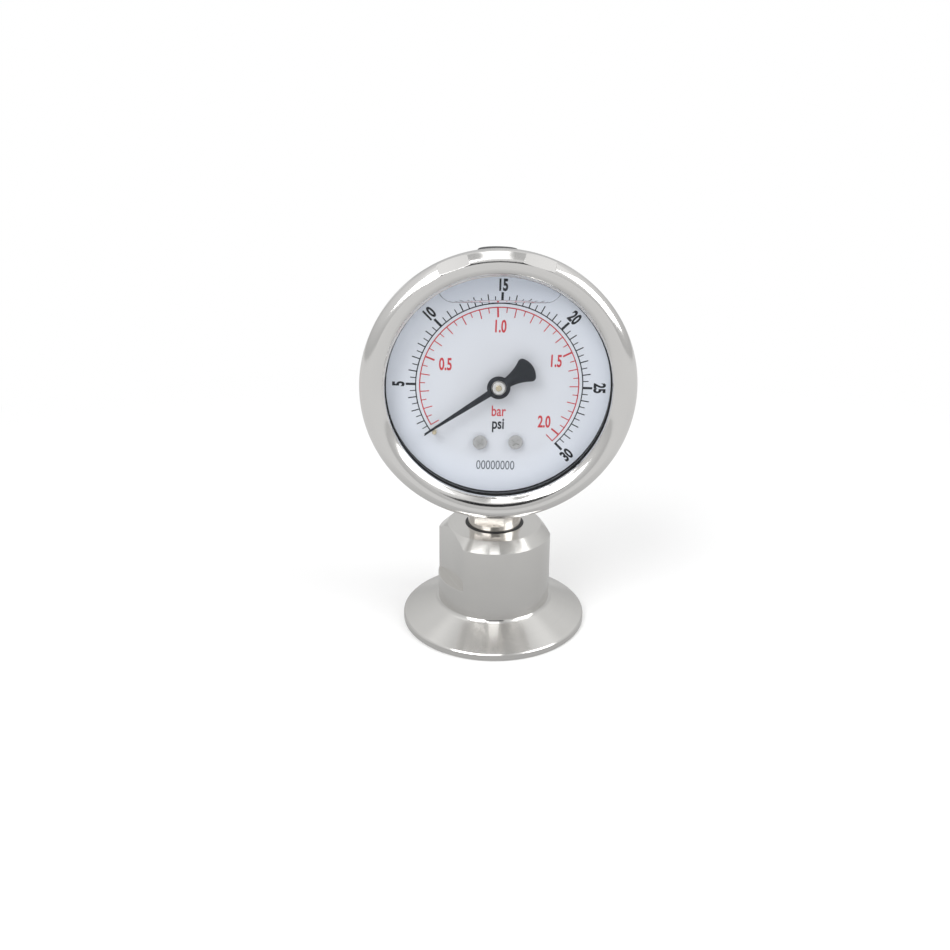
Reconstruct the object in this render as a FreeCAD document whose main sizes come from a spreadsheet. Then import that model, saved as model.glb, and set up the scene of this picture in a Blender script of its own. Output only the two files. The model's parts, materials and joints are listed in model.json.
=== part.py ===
import FreeCAD, Part
import math
import os
import re
import Sketcher

# Glycerine-filled dial pressure gauge on a clamp-flange diaphragm seal.
# Frame: origin at the centre of the flange's sealing face, +Z up the stem, the dial faces -Y.
# Depths are Y values, so a larger depth lies further back from the reader.

doc = FreeCAD.newDocument("pressure_gauge")
V = FreeCAD.Vector
Y_AXIS = V(0, 1, 0)
QUARTER_ARC = 1 - math.sqrt(0.5)  # sagitta of a quarter arc of radius 1

SIZES = [
    # diaphragm seal housing
    ("flange_radius", 25.25),
    ("flange_rim", 2.0),
    ("cone_top", 6.1),
    ("root_fillet", 0.8),
    ("edge_break", 0.3),
    ("cut_margin", 1.0),
    ("housing_radius", 15.5),
    ("housing_height", 28.2),
    ("top_chamfer_width", 2.7),
    ("top_chamfer_drop", 2.5),
    ("flats_across", 26.0),
    ("flats_floor", 13.5),
    ("flats_turn", 23.0),
    ("groove_circle", 21.8),
    ("groove_half_width", 1.6),
    ("groove_floor_half_width", 0.96),
    ("groove_depth", 1.3),
    ("recess_radius", 19.0),
    ("recess_depth", 0.6),
    ("cavity_radius", 17.2),
    ("cavity_rise", 1.3),
    ("diaphragm_wall", 0.15),
    ("diaphragm_wave", 0.3),
    ("weld_ring_inset", 0.05),
    ("cavity_edge", 0.2),
    ("pressure_bore", 1.5),
    ("thread_shoulder", 0.65),
    ("thread_floor", 14.0),
    ("neck_seal_wall", 0.75),
    ("counterbore_depth", 1.0),
    ("washer_wall", 0.8),
    ("washer_bore", 2.1),
    ("seal_stand", 0.15),
    # stem
    ("stem_radius", 7.25),
    ("shank_across", 12.0),
    ("shank_turn", -16.0),
    ("shank_gap", 1.5),
    ("shank_shoulder", 2.2),
    ("stem_bore", 1.0),
    ("restrictor_radius", 1.9),
    ("restrictor_length", 4.0),
    ("restrictor_hole", 0.4),
    ("block_ledge", 1.25),
    ("block_rise", 3.1),
    ("block_top", 16.5),
    ("block_back", 6.0),
    # case, bezel and window
    ("neck_length", 11.95),
    ("case_radius", 30.6),
    ("case_wall", 0.8),
    ("case_room", 4.15),
    ("case_corner", 2.8),
    ("flange_front", -14.3),
    ("case_flange_width", 2.6),
    ("stem_clearance", 0.05),
    ("plug_radius", 4.0),
    ("plug_head_radius", 5.2),
    ("plug_head_height", 1.65),
    ("plug_depth", 2.8),
    ("plug_lip", 0.7),
    ("plug_rounding", 0.5),
    ("bezel_play", 0.14),
    ("bezel_wall", 0.8),
    ("bezel_lip_inset", 2.7),
    ("bezel_lip_depth", 0.9),
    ("bezel_lip_straight", 0.54),
    ("bezel_lip_rounding", 0.4),
    ("bezel_seat_width", 1.0),
    ("bezel_crest_inset", 2.84),
    ("bezel_crest_rise", 2.6),
    ("bezel_crest_shift", 0.3),
    ("bezel_crest_drop", 0.02),
    ("bezel_shoulder", 3.0),
    ("bezel_bulge", 0.62),
    ("bezel_front_bulge", 0.42),
    ("bezel_inner_bulge", 0.45),
    ("bezel_inner_drop", 0.1),
    ("bezel_rear_rounding", 0.9),
    ("bezel_rear_gap", 0.6),
    ("notch_length", 7.6),
    ("notch_depth", 0.42),
    ("notch_left_angle", 20.0),
    ("notch_right_angle", 16.5),
    ("window_inset", 0.2),
    ("window_wall", 1.8),
    ("gasket_wall", 0.9),
    ("gasket_overhang", 2.9),
    ("gasket_skirt_wall", 1.5),
    ("gasket_skirt_end", -10.9),
    # dial and pointer
    ("dial_play", 0.25),
    ("dial_wall", 0.5),
    ("dial_hole", 2.0),
    ("screw_across", 4.5),
    ("screw_drop", 14.6),
    ("screw_thread_radius", 0.9),
    ("screw_head_radius", 1.8),
    ("screw_head_height", 1.1),
    ("screw_head_rounding", 0.77),
    ("screw_slot_length", 2.0),
    ("screw_slot_width", 0.4),
    ("screw_slot_depth", 0.6),
    ("screw_slot_turn", 35.0),
    ("stop_pin_circle", 19.7),
    ("stop_pin_radius", 0.55),
    ("stop_pin_stand", 0.3),
    ("pointer_rest_angle", 213.4),
    ("pointer_length", 22.0),
    ("pointer_disc", 2.9),
    ("pointer_wall", 0.4),
    ("pointer_front", -13.9),
    ("pointer_root_half", 0.9),
    ("pointer_tip_half", 0.2),
    ("tail_length", 10.0),
    ("tail_neck_half", 1.3),
    ("tail_neck_length", 2.32),
    ("tail_end_half", 3.6),
    ("tail_bow", 1.6),
    ("tail_flare", 0.28),
    ("tail_rounding", 1.1),
    ("hub_radius", 1.85),
    ("hub_spigot", 1.2),
    ("hub_face", 0.65),
    ("hub_barrel", 1.9),
    # movement
    ("plate_wall", 1.2),
    ("plate_gap", 5.0),
    ("plate_half_width", 6.5),
    ("plate_rise", 5.5),
    ("plate_foot", 6.0),
    ("plate_corner", 2.0),
    ("pillar_radius", 1.1),
    ("pillar_across", 4.9),
    ("pillar_high", 3.6),
    ("pillar_foot", 4.3),
    ("movement_screw_across", 2.2),
    ("movement_screw_head", 1.4),
    ("movement_screw_height", 0.8),
    ("movement_screw_reach", 1.5),
    ("running_clearance", 0.03),
    ("arbor_radius", 0.75),
    ("gear_module", 0.25),
    ("pinion_teeth", 10),
    ("sector_wheel_teeth", 110),
    ("sector_spare_teeth", 2),
    ("gear_backlash", 0.07),
    ("pressure_angle", 20.0),
    ("pinion_addendum", 1.0),
    ("pinion_dedendum", 0.8),
    ("sector_addendum", 0.55),
    ("sector_dedendum", 1.15),
    ("pinion_overhang", 0.4),
    ("arbor_stand", 0.25),
    ("arbor_end_gap", 0.2),
    ("sector_wall", 1.0),
    ("sector_gap_share", 0.9),
    ("movement_inset", 1.05),
    ("sector_hub", 2.4),
    ("sector_rim", 1.6),
    ("sector_tail_width", 2.6),
    ("sector_boss_margin", 0.2),
    ("sector_spoke_spread", 2.0),
    ("sector_swing", 24.0),
    ("sector_tail", 8.0),
    ("link_drop", 5.0),
    ("link_wall", 0.5),
    ("link_half_width", 1.2),
    ("link_pin_radius", 0.6),
    ("link_pin_stand", 0.1),
    ("hairspring_wall", 0.12),
    ("hairspring_turns", 5),
    ("hairspring_start", 1.55),
    ("hairspring_end", 4.1),
    ("hairspring_width", 1.4),
    ("hairspring_gap", 0.5),
    ("hairspring_stud_angle", 160.0),
    ("collet_radius", 1.3),
    ("collet_lap", 0.1),
    ("stud_radius", 0.5),
    # bourdon tube
    ("tube_circle", 20.5),
    ("tube_width", 6.0),
    ("tube_thickness", 2.2),
    ("tube_wall", 0.25),
    ("tube_middle", 2.4),
    ("tube_root_angle", 266.0),
    ("tube_end_angle", -12.0),
    ("tip_span", 10.0),
    ("tip_wall", 0.6),
    ("tip_arm_wall", 1.0),
    ("tip_arm_width", 3.0),
    ("tip_eye_margin", 1.2),
    ("tip_side_gap", 0.2),
    ("tip_arm_lap", 0.4),
    ("tip_arm_root", 0.5),
    ("tip_slot_play", 0.1),
]

sheet = doc.addObject("Spreadsheet::Sheet", "Sizes")
for row, (alias, value) in enumerate(SIZES, start=1):
    sheet.set("A%d" % row, alias)
    sheet.set("B%d" % row, repr(value))
    sheet.setAlias("B%d" % row, alias)
doc.recompute()

# Lengths that follow from the driving sizes.
DERIVED = {
    "counterbore_radius": "stem_radius + neck_seal_wall",
    "thread_radius": "stem_radius - thread_shoulder",
    "dial_height": "housing_height + neck_length + case_radius",
    "shank_start": "housing_height + shank_gap",
    "shank_end": "housing_height + neck_length - shank_shoulder",
    "block_half_width": "stem_radius + block_ledge",
    "case_back": "stem_radius + case_room",
    "sector_front": "movement_inset - stem_radius",
    "block_bottom": "case_radius - block_rise",
    "block_front": "plate_front + 2 * plate_wall + plate_gap",
    "case_flange_radius": "case_radius + case_flange_width",
    "bezel_radius": "case_flange_radius + bezel_play + bezel_wall",
    "bezel_crest_radius": "bezel_radius - bezel_crest_inset",
    "bezel_lip_radius": "case_radius - bezel_lip_inset",
    "window_radius": "case_flange_radius - window_inset",
    "window_rear": "flange_front - gasket_wall",
    "window_front": "window_rear - window_wall",
    "gasket_opening": "case_radius - gasket_overhang",
    "gasket_skirt_radius": "case_radius - case_wall - gasket_skirt_wall",
    "dial_radius": "gasket_skirt_radius - dial_play",
    "dial_front": "plate_front - dial_wall",
    "plate_front": "sector_front - plate_gap * sector_gap_share",
    "gap_front": "plate_front + plate_wall",
    "gap_rear": "gap_front + plate_gap",
    "gear_distance": "gear_module * (pinion_teeth + sector_wheel_teeth) / 2",
    "pillar_low": "gear_distance + pillar_foot",
    "plate_drop": "gear_distance + plate_foot",
    "link_length": "gear_distance - link_drop",
}
DRIVING_NAME = re.compile(r"\b(%s)\b" % "|".join(name for name, value in SIZES))
DERIVED_NAME = re.compile(r"\b(%s)\b" % "|".join(DERIVED))


def expanded(expression):
    """The expression with every derived length written out in driving sizes."""
    text = str(expression)
    while DERIVED_NAME.search(text):
        text = DERIVED_NAME.sub(lambda found: "(%s)" % DERIVED[found.group(1)], text)
    return text


def bound(expression):
    """The expression with every size name pointing at its cell."""
    return DRIVING_NAME.sub(r"Sizes.\1", expanded(expression))


def size(expression):
    """The present value of an expression of size names."""
    return float(sheet.evalExpression(expanded(expression)))


# ---------------------------------------------------------------- helpers

def new_body(label, depth=None, height=None):
    body = doc.addObject("PartDesign::Body", label)
    body.Label = label
    if depth is not None:
        body.setExpression("Placement.Base.y", bound(depth))
    if height is not None:
        body.setExpression("Placement.Base.z", bound(height))
    return body


def origin_plane(body, role):
    return next(feature for feature in body.Origin.OriginFeatures if feature.Role == role)


def new_sketch(body, role, name):
    sketch = body.newObject("Sketcher::SketchObject", name)
    sketch.AttachmentSupport = (origin_plane(body, role), [""])
    sketch.MapMode = "FlatFace"
    return sketch


def bind(sketch, kind, *arguments, to):
    """Add a dimension to the sketch and tie it to an expression."""
    index = sketch.addConstraint(Sketcher.Constraint(kind, *arguments, size(to)))
    sketch.setExpression("Constraints[%d]" % index, bound(to))


def outline(sketch, points):
    """Closed outline. A point is (across, up) or (across, up, bulge): the bulge is the sagitta of the
    arc that leads on to the next point, positive to the left of the way the outline runs."""
    places = [V(size(point[0]), size(point[1]), 0) for point in points]
    first = sketch.GeometryCount
    for index, point in enumerate(points):
        start = places[index]
        end = places[(index + 1) % len(points)]
        if len(point) == 3:
            way = (end - start).normalize()
            middle = (start + end) * 0.5 + V(-way.y, way.x, 0) * size(point[2])
            if size(point[2]) > 0:
                start, end = end, start
            sketch.addGeometry(Part.Arc(start, middle, end), False)
        else:
            sketch.addGeometry(Part.LineSegment(start, end), False)
    ends = [(2, 1) if len(point) == 3 and size(point[2]) > 0 else (1, 2) for point in points]
    for index, point in enumerate(points):
        after = (index + 1) % len(points)
        sketch.addConstraint(Sketcher.Constraint(
            "Coincident", first + index, ends[index][1], first + after, ends[after][0]))
        for kind, value in (("DistanceX", point[0]), ("DistanceY", point[1])):
            bind(sketch, kind, first + index, ends[index][0], to=value)
        if len(point) == 3:
            chord = places[index].distanceToPoint(places[after])
            sagitta = abs(size(point[2]))
            radius = sagitta / 2 + chord * chord / (8 * sagitta)
            sketch.addConstraint(Sketcher.Constraint("Radius", first + index, radius))


def circle(sketch, across, up, radius):
    index = sketch.addGeometry(Part.Circle(V(size(across), size(up), 0), V(0, 0, 1), size(radius)), False)
    bind(sketch, "Radius", index, to=radius)
    bind(sketch, "DistanceX", index, 3, to=across)
    bind(sketch, "DistanceY", index, 3, to=up)


def turned(label, points, about="Z", height=None):
    """A turned piece: the half section (radius, along) spun about the stem (Z) or the dial axis (Y)."""
    body = new_body(label, height=height)
    sketch = new_sketch(body, "XZ_Plane" if about == "Z" else "XY_Plane", label + "_section")
    outline(sketch, points)
    spin = body.newObject("PartDesign::Revolution", label + "_spin")
    spin.Profile = sketch
    spin.ReferenceAxis = (sketch, ["V_Axis"])
    spin.Angle = 360.0
    sketch.Visibility = False
    return body


def dial_turned(label, points):
    return turned(label, points, about="Y", height="dial_height")


def plate(label, rear, thickness, points=None, discs=(), holes=()):
    """A flat piece facing the reader: its outline and holes are (across, up) from the dial's centre."""
    body = new_body(label, depth=rear, height="dial_height")
    sketch = new_sketch(body, "XZ_Plane", label + "_outline")
    if points:
        outline(sketch, points)
    for across, up, radius in list(discs) + list(holes):
        circle(sketch, across, up, radius)
    pad = body.newObject("PartDesign::Pad", label + "_pad")
    pad.Profile = sketch
    pad.setExpression("Length", bound(thickness))
    sketch.Visibility = False
    return body


def rounded_rectangle(left, right, low, high, corner):
    """Outline of a rectangle whose corners are quarter arcs, run anticlockwise."""
    sagitta = "-(%s) * %r" % (corner, QUARTER_ARC)
    return [
        ("%s + %s" % (left, corner), low), ("%s - %s" % (right, corner), low, sagitta),
        (right, "%s + %s" % (low, corner)), (right, "%s - %s" % (high, corner), sagitta),
        ("%s - %s" % (right, corner), high), ("%s + %s" % (left, corner), high, sagitta),
        (left, "%s - %s" % (high, corner)), (left, "%s + %s" % (low, corner), sagitta),
    ]


def boolean(kind, label, base, tools):
    """Cut the tools from the base, or fuse them to it."""
    if kind == "cut":
        result = doc.addObject("Part::Cut", label)
        result.Base = base
        if len(tools) == 1:
            result.Tool = tools[0]
        else:
            joined = doc.addObject("Part::MultiFuse", label + "_tools")
            joined.Shapes = tools
            result.Tool = joined
    else:
        result = doc.addObject("Part::MultiFuse", label)
        result.Shapes = [base] + tools
    result.Label = label
    return result


def box(name, low, high, turn=None):
    """A box between two corners given as expressions, turned about the Z axis."""
    solid = doc.addObject("Part::Box", name)
    for key, start, end in zip(("Length", "Width", "Height"), low, high):
        solid.setExpression(key, bound("%s - (%s)" % (end, start)))
    spin = FreeCAD.Rotation(V(0, 0, 1), size(turn) if turn else 0.0)
    solid.Placement = FreeCAD.Placement(spin.multVec(V(*[size(start) for start in low])), spin)
    return solid


def rod(name, radius, front, rear, across="0", up="0"):
    """A round bar along the reader's line of sight, placed from the dial's centre."""
    bar = doc.addObject("Part::Cylinder", name)
    bar.setExpression("Radius", bound(radius))
    bar.setExpression("Height", bound("%s - (%s)" % (rear, front)))
    bar.Placement = FreeCAD.Placement(V(), FreeCAD.Rotation(V(1, 0, 0), -90))
    bar.setExpression("Placement.Base.x", bound(across))
    bar.setExpression("Placement.Base.y", bound(front))
    bar.setExpression("Placement.Base.z", bound("dial_height + %s" % up))
    return bar


def post(name, radius, low, high, across="0", depth="0"):
    """An upright round bar."""
    bar = doc.addObject("Part::Cylinder", name)
    bar.setExpression("Radius", bound(radius))
    bar.setExpression("Height", bound("%s - (%s)" % (high, low)))
    bar.setExpression("Placement.Base.x", bound(across))
    bar.setExpression("Placement.Base.y", bound(depth))
    bar.setExpression("Placement.Base.z", bound(low))
    return bar


def shaped(label, shape, depth="0"):
    """A piece whose outline no standard feature gives, placed from the dial's centre."""
    piece = doc.addObject("Part::Feature", label)
    piece.Label = label
    piece.Shape = shape
    place = FreeCAD.Placement(V(0, size(depth), size("dial_height")), FreeCAD.Rotation())
    piece.Placement = place.multiply(shape.Placement)
    return piece


def polar(radius, angle):
    """A point of the dial's plane from its radius and its angle in degrees, anticlockwise from +X."""
    return V(radius * math.cos(math.radians(angle)), 0, radius * math.sin(math.radians(angle)))


def blade(edges, thickness):
    """A flat solid from edges in the dial's plane, thickened towards the back."""
    wire = Part.Wire(Part.__sortEdges__(edges))
    return Part.Face(wire).extrude(V(0, thickness, 0))


# ---------------------------------------------------------------- diaphragm seal

def seal_housing():
    blank = turned("seal_housing_blank", [
        ("recess_radius", "0"),
        ("groove_circle - groove_half_width", "0"),
        ("groove_circle - groove_floor_half_width", "groove_depth"),
        ("groove_circle + groove_floor_half_width", "groove_depth"),
        ("groove_circle + groove_half_width", "0"),
        ("flange_radius - edge_break", "0"),
        ("flange_radius", "edge_break"),
        ("flange_radius", "flange_rim - edge_break"),
        ("flange_radius - edge_break", "flange_rim"),
        ("housing_radius + root_fillet", "cone_top - root_fillet / 2", "root_fillet * 0.15"),
        ("housing_radius", "cone_top + root_fillet / 2"),
        ("housing_radius", "housing_height - top_chamfer_drop"),
        ("housing_radius - top_chamfer_width", "housing_height"),
        ("counterbore_radius", "housing_height"),
        ("counterbore_radius", "housing_height - counterbore_depth"),
        ("thread_radius", "housing_height - counterbore_depth"),
        ("thread_radius", "thread_floor"),
        ("pressure_bore", "thread_floor"),
        ("pressure_bore", "recess_depth + cavity_rise"),
        ("cavity_radius", "recess_depth + cavity_edge"),
        ("cavity_radius", "recess_depth"),
        ("recess_radius", "recess_depth"),
    ])
    far = "(housing_radius + cut_margin)"
    cutters = [
        box("flat_%d" % half, ("flats_across / 2", "-" + far, "flats_floor"),
            (far, far, "housing_height + cut_margin"), "flats_turn + %d" % (180 * half))
        for half in (0, 1)
    ]
    return boolean("cut", "seal_housing", blank, cutters)


def diaphragm():
    """Thin disc with three ring waves, clamped between the housing and its weld ring."""
    wave = "diaphragm_wave"
    low = "recess_depth - diaphragm_wall"
    lower = []
    upper = []
    waves = 3
    for ring in range(waves):
        start = "cavity_radius * %r" % (0.25 + 0.25 * ring)
        crest = "cavity_radius * %r" % (0.375 + 0.25 * ring)
        lower += [(start, low), (crest, "%s - %s" % (low, wave))]
        upper += [(start, "recess_depth"), (crest, "recess_depth - %s" % wave)]
    rim_points = [("recess_radius", low), ("recess_radius", "recess_depth")]
    points = [("0", low)] + lower + [("cavity_radius", low)] + rim_points
    points += [("cavity_radius", "recess_depth")] + upper[::-1] + [("0", "recess_depth")]
    return turned("diaphragm", points)


def diaphragm_ring():
    low = "weld_ring_inset"
    high = "recess_depth - diaphragm_wall"
    return turned("diaphragm_ring", [
        ("cavity_radius", low), ("recess_radius", low), ("recess_radius", high), ("cavity_radius", high)])


def thread_washer():
    top = "thread_floor + washer_wall"
    return turned("thread_washer", [
        ("washer_bore", "thread_floor"), ("thread_radius", "thread_floor"),
        ("thread_radius", top), ("washer_bore", top)])


def neck_seal():
    floor = "housing_height - counterbore_depth"
    top = "housing_height + seal_stand"
    return turned("neck_seal", [
        ("stem_radius", floor), ("counterbore_radius", floor),
        ("counterbore_radius", "%s - edge_break" % top, "-edge_break / 5"),
        ("counterbore_radius - edge_break", top),
        ("stem_radius", top)])


# ---------------------------------------------------------------- stem and case

def gauge_stem():
    """Threaded spigot, square shank and the block inside the case, bored from end to end."""
    spigot_floor = "thread_floor + washer_wall"
    shoulder = "housing_height - counterbore_depth"
    bore_top = "dial_height - tube_circle + tube_thickness / 2"
    blank = turned("stem_blank", [
        ("stem_bore", spigot_floor), ("thread_radius - 2 * edge_break", spigot_floor),
        ("thread_radius", "%s + 2 * edge_break" % spigot_floor), ("thread_radius", shoulder),
        ("stem_radius", shoulder),
        ("stem_radius", "dial_height - block_bottom"), ("stem_bore", "dial_height - block_bottom")])
    block = box("stem_block", ("-block_half_width", "block_front", "dial_height - block_bottom"),
                ("block_half_width", "block_back", "dial_height - block_top"))
    cutters = []
    outer = "(stem_radius + cut_margin)"
    for quarter in range(4):
        cutters.append(box("shank_flat_%d" % quarter, ("shank_across / 2", "-" + outer, "shank_start"),
                           (outer, outer, "shank_end"), "shank_turn + %d" % (90 * quarter)))
    cutters.append(post("block_bore", "stem_bore", "dial_height - block_bottom", bore_top))
    cutters.append(post("restrictor_bore", "restrictor_radius", spigot_floor,
                        "%s + restrictor_length" % spigot_floor))
    cutters.append(tube_envelope())
    for side in (-1, 1):
        cutters.append(rod("movement_tap_%d" % (side + 1), "screw_thread_radius", "block_front",
                           "block_front + movement_screw_reach", "%d * movement_screw_across" % side,
                           "-pillar_low"))
    body = boolean("fuse", "stem_solid", blank, [block])
    return boolean("cut", "gauge_stem", body, cutters)


def restrictor():
    low = "thread_floor + washer_wall"
    high = "thread_floor + washer_wall + restrictor_length"
    return turned("restrictor", [
        ("restrictor_hole", low), ("restrictor_radius", low), ("restrictor_radius", high),
        ("restrictor_hole", high)])


def case_seal():
    """Rubber washer under the stem's block, saddle-shaped where it sits on the inside of the case."""
    low = "dial_height - case_radius"
    high = "dial_height - block_bottom"
    washer = turned("case_seal_blank", [
        ("stem_radius", low), ("block_half_width", low), ("block_half_width", high), ("stem_radius", high)])
    inside = rod("case_inside", "case_radius - case_wall", "-stem_radius * 2", "stem_radius * 2")
    seal = doc.addObject("Part::Common", "case_seal")
    seal.Label = "case_seal"
    seal.Base = washer
    seal.Tool = inside
    return seal


def gauge_case():
    """Drawn cup with a flared front rim, a hole for the stem below and one for the plug on top."""
    inner = "case_radius - case_wall"
    flange_rear = "flange_front + case_wall"
    cup = dial_turned("case_cup", [
        (inner, "flange_front"),
        ("case_flange_radius", "flange_front"),
        ("case_flange_radius", flange_rear),
        ("case_radius", flange_rear),
        ("case_radius", "case_back - case_corner", "-case_corner * %r" % QUARTER_ARC),
        ("case_radius - case_corner", "case_back"),
        ("0", "case_back"),
        ("0", "case_back - case_wall"),
        ("case_radius - case_corner", "case_back - case_wall",
         "(case_corner - case_wall) * %r" % QUARTER_ARC),
        (inner, "case_back - case_corner"),
    ])
    stem_hole = post("case_stem_hole", "stem_radius + stem_clearance",
                     "dial_height - case_radius - cut_margin", "dial_height - block_bottom")
    plug_hole = post("case_plug_hole", "plug_radius", "dial_height + case_radius - plug_depth - cut_margin",
                     "dial_height + case_radius + cut_margin")
    return boolean("cut", "gauge_case", cup, [stem_hole, plug_hole])


def fill_plug():
    """Rubber plug: a head on the case, a neck in its hole and a lip inside."""
    top = "dial_height + case_radius"
    skirt = "%s - case_wall * 1.5" % top
    blank = turned("plug_blank", [
        ("0", "%s - plug_depth" % top), ("plug_radius", "%s - plug_depth" % top),
        ("plug_radius + plug_lip", "%s - plug_depth / 2" % top), ("plug_radius + plug_lip", skirt),
        ("plug_head_radius", skirt),
        ("plug_head_radius", "%s + plug_head_height - plug_rounding" % top, "-plug_rounding / 4"),
        ("plug_head_radius - plug_rounding", "%s + plug_head_height" % top),
        ("0", "%s + plug_head_height" % top)])
    inside = "case_radius - case_wall"
    near = "-plug_head_radius - cut_margin"
    far = "plug_head_radius + cut_margin"
    shell = dial_turned("plug_case_shell", [
        (inside, near), ("case_radius", near), ("case_radius", far), (inside, far)])
    hole = post("plug_shell_hole", "plug_radius", "%s - plug_depth - cut_margin" % top,
                "%s + cut_margin" % top)
    collar = boolean("cut", "plug_collar", shell, [hole])
    return boolean("cut", "fill_plug", blank, [collar])


def bezel():
    """Ring rolled over the case's rim, with a crowned front and two pressed notches in its shoulder."""
    inner = "bezel_radius - bezel_wall"
    crest = "window_front - bezel_crest_rise"
    rear = "flange_front + case_wall + bezel_wall"
    ring = dial_turned("bezel_ring", [
        ("bezel_lip_radius", "window_front"),
        ("bezel_lip_radius", "window_front - bezel_lip_straight", "-bezel_lip_rounding / 4"),
        ("bezel_lip_radius + bezel_lip_rounding", "window_front - bezel_lip_depth - bezel_lip_rounding / 4",
         "-bezel_front_bulge"),
        ("bezel_crest_radius + bezel_crest_shift", "%s + bezel_crest_drop" % crest, "-bezel_bulge"),
        ("bezel_radius", "%s + bezel_shoulder" % crest),
        ("bezel_radius", "%s - bezel_rear_rounding" % rear, "-bezel_rear_rounding * %r" % QUARTER_ARC),
        ("bezel_radius - bezel_rear_rounding", rear),
        ("case_radius + bezel_rear_gap", rear),
        ("case_radius + bezel_rear_gap", "%s - bezel_wall" % rear),
        (inner, "%s - bezel_wall" % rear),
        (inner, "%s + bezel_shoulder" % crest, "bezel_inner_bulge"),
        ("bezel_crest_radius", "%s + bezel_wall + bezel_inner_drop" % crest),
        ("bezel_lip_radius + bezel_seat_width", "window_front"),
    ])
    inner_end = V(0, size(crest), size("bezel_crest_radius"))
    outer_end = V(0, size("%s + bezel_shoulder" % crest), size("bezel_radius"))
    chord = outer_end - inner_end
    tilt = FreeCAD.Rotation(V(1, 0, 0), -math.degrees(math.atan2(chord.y, chord.z)))
    floor = (inner_end + outer_end) * 0.5 + tilt.multVec(V(0, size("notch_depth - bezel_bulge"), 0))
    cutters = []
    for name, angle in (("left", -size("notch_left_angle")), ("right", size("notch_right_angle"))):
        notch = doc.addObject("Part::Box", "notch_" + name)
        notch.setExpression("Length", bound("notch_length"))
        notch.setExpression("Width", bound("2 * bezel_wall"))
        notch.setExpression("Height", bound("bezel_shoulder * 2"))
        corner = V(-size("notch_length") / 2, -size("2 * bezel_wall"), -size("bezel_shoulder"))
        spin = FreeCAD.Rotation(Y_AXIS, angle)
        place = FreeCAD.Placement(V(0, 0, size("dial_height")), spin)
        place = place.multiply(FreeCAD.Placement(floor, tilt)).multiply(
            FreeCAD.Placement(corner, FreeCAD.Rotation()))
        notch.Placement = place
        cutters.append(notch)
    return boolean("cut", "bezel", ring, cutters)


def window():
    return dial_turned("window", [
        ("0", "window_front"), ("window_radius - edge_break", "window_front"),
        ("window_radius", "window_front + edge_break"), ("window_radius", "window_rear"),
        ("0", "window_rear")])


def window_gasket():
    return dial_turned("window_gasket", [
        ("gasket_opening", "window_rear"), ("window_radius", "window_rear"),
        ("window_radius", "flange_front"), ("case_radius - case_wall", "flange_front"),
        ("case_radius - case_wall", "gasket_skirt_end"),
        ("gasket_skirt_radius", "gasket_skirt_end"), ("gasket_skirt_radius", "flange_front"),
        ("gasket_opening", "flange_front")])


# ---------------------------------------------------------------- dial and pointer

def stop_pin_place():
    """The pin's centre, placed so that its side just clears the pointer's lower edge at rest."""
    reach = size("(stop_pin_circle - pointer_disc) / (pointer_length - pointer_disc)")
    half = size("pointer_root_half") + (size("pointer_tip_half") - size("pointer_root_half")) * reach
    offset = half + size("stop_pin_radius") + size("running_clearance")
    turn = math.degrees(math.asin(offset / size("stop_pin_circle")))
    return polar(size("stop_pin_circle"), size("pointer_rest_angle") + turn)


def dial_plate():
    pin = stop_pin_place()
    screws = [("%d * screw_across" % side, "-screw_drop", "screw_thread_radius") for side in (-1, 1)]
    return plate("dial_plate", "plate_front", "dial_wall", discs=[("0", "0", "dial_radius")],
                 holes=[("0", "0", "dial_hole"), (pin.x, pin.z, "stop_pin_radius")] + screws)


def stop_pin():
    pin = stop_pin_place()
    return rod("stop_pin", "stop_pin_radius", "pointer_front - stop_pin_stand",
               "plate_front + stop_pin_stand", pin.x, pin.z)


def dial_screws():
    """Two pan-head screws with cross recesses, which hold the dial to the movement."""
    heads = []
    cutters = []
    for side in (-1, 1):
        across = "%d * screw_across" % side
        tag = "%d" % (side + 1)
        shank = rod("dial_screw_shank_" + tag, "screw_thread_radius", "dial_front", "gap_front", across,
                    "-screw_drop")
        head = rod("dial_screw_head_" + tag, "screw_head_radius", "dial_front - screw_head_height",
                   "dial_front", across, "-screw_drop")
        rounded = doc.addObject("Part::Fillet", "dial_screw_dome_" + tag)
        rounded.Base = head
        rounded.Edges = [(3, size("screw_head_rounding"), size("screw_head_rounding"))]
        heads += [shank, rounded]
        for turn in (0, 90):
            slot = doc.addObject("Part::Box", "dial_screw_slot_%s_%d" % (tag, turn))
            slot.setExpression("Length", bound("screw_slot_length"))
            slot.setExpression("Width", bound("screw_slot_depth"))
            slot.setExpression("Height", bound("screw_slot_width"))
            spin = FreeCAD.Rotation(Y_AXIS, size("screw_slot_turn") + turn)
            corner = spin.multVec(V(-size("screw_slot_length") / 2, 0, -size("screw_slot_width") / 2))
            front = size("dial_front - screw_head_height")
            slot.Placement = FreeCAD.Placement(
                corner + V(size(across), front, size("dial_height - screw_drop")), spin)
            cutters.append(slot)
    return boolean("cut", "dial_screws", boolean("fuse", "dial_screw_solids", heads[0], heads[1:]), cutters)


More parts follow.
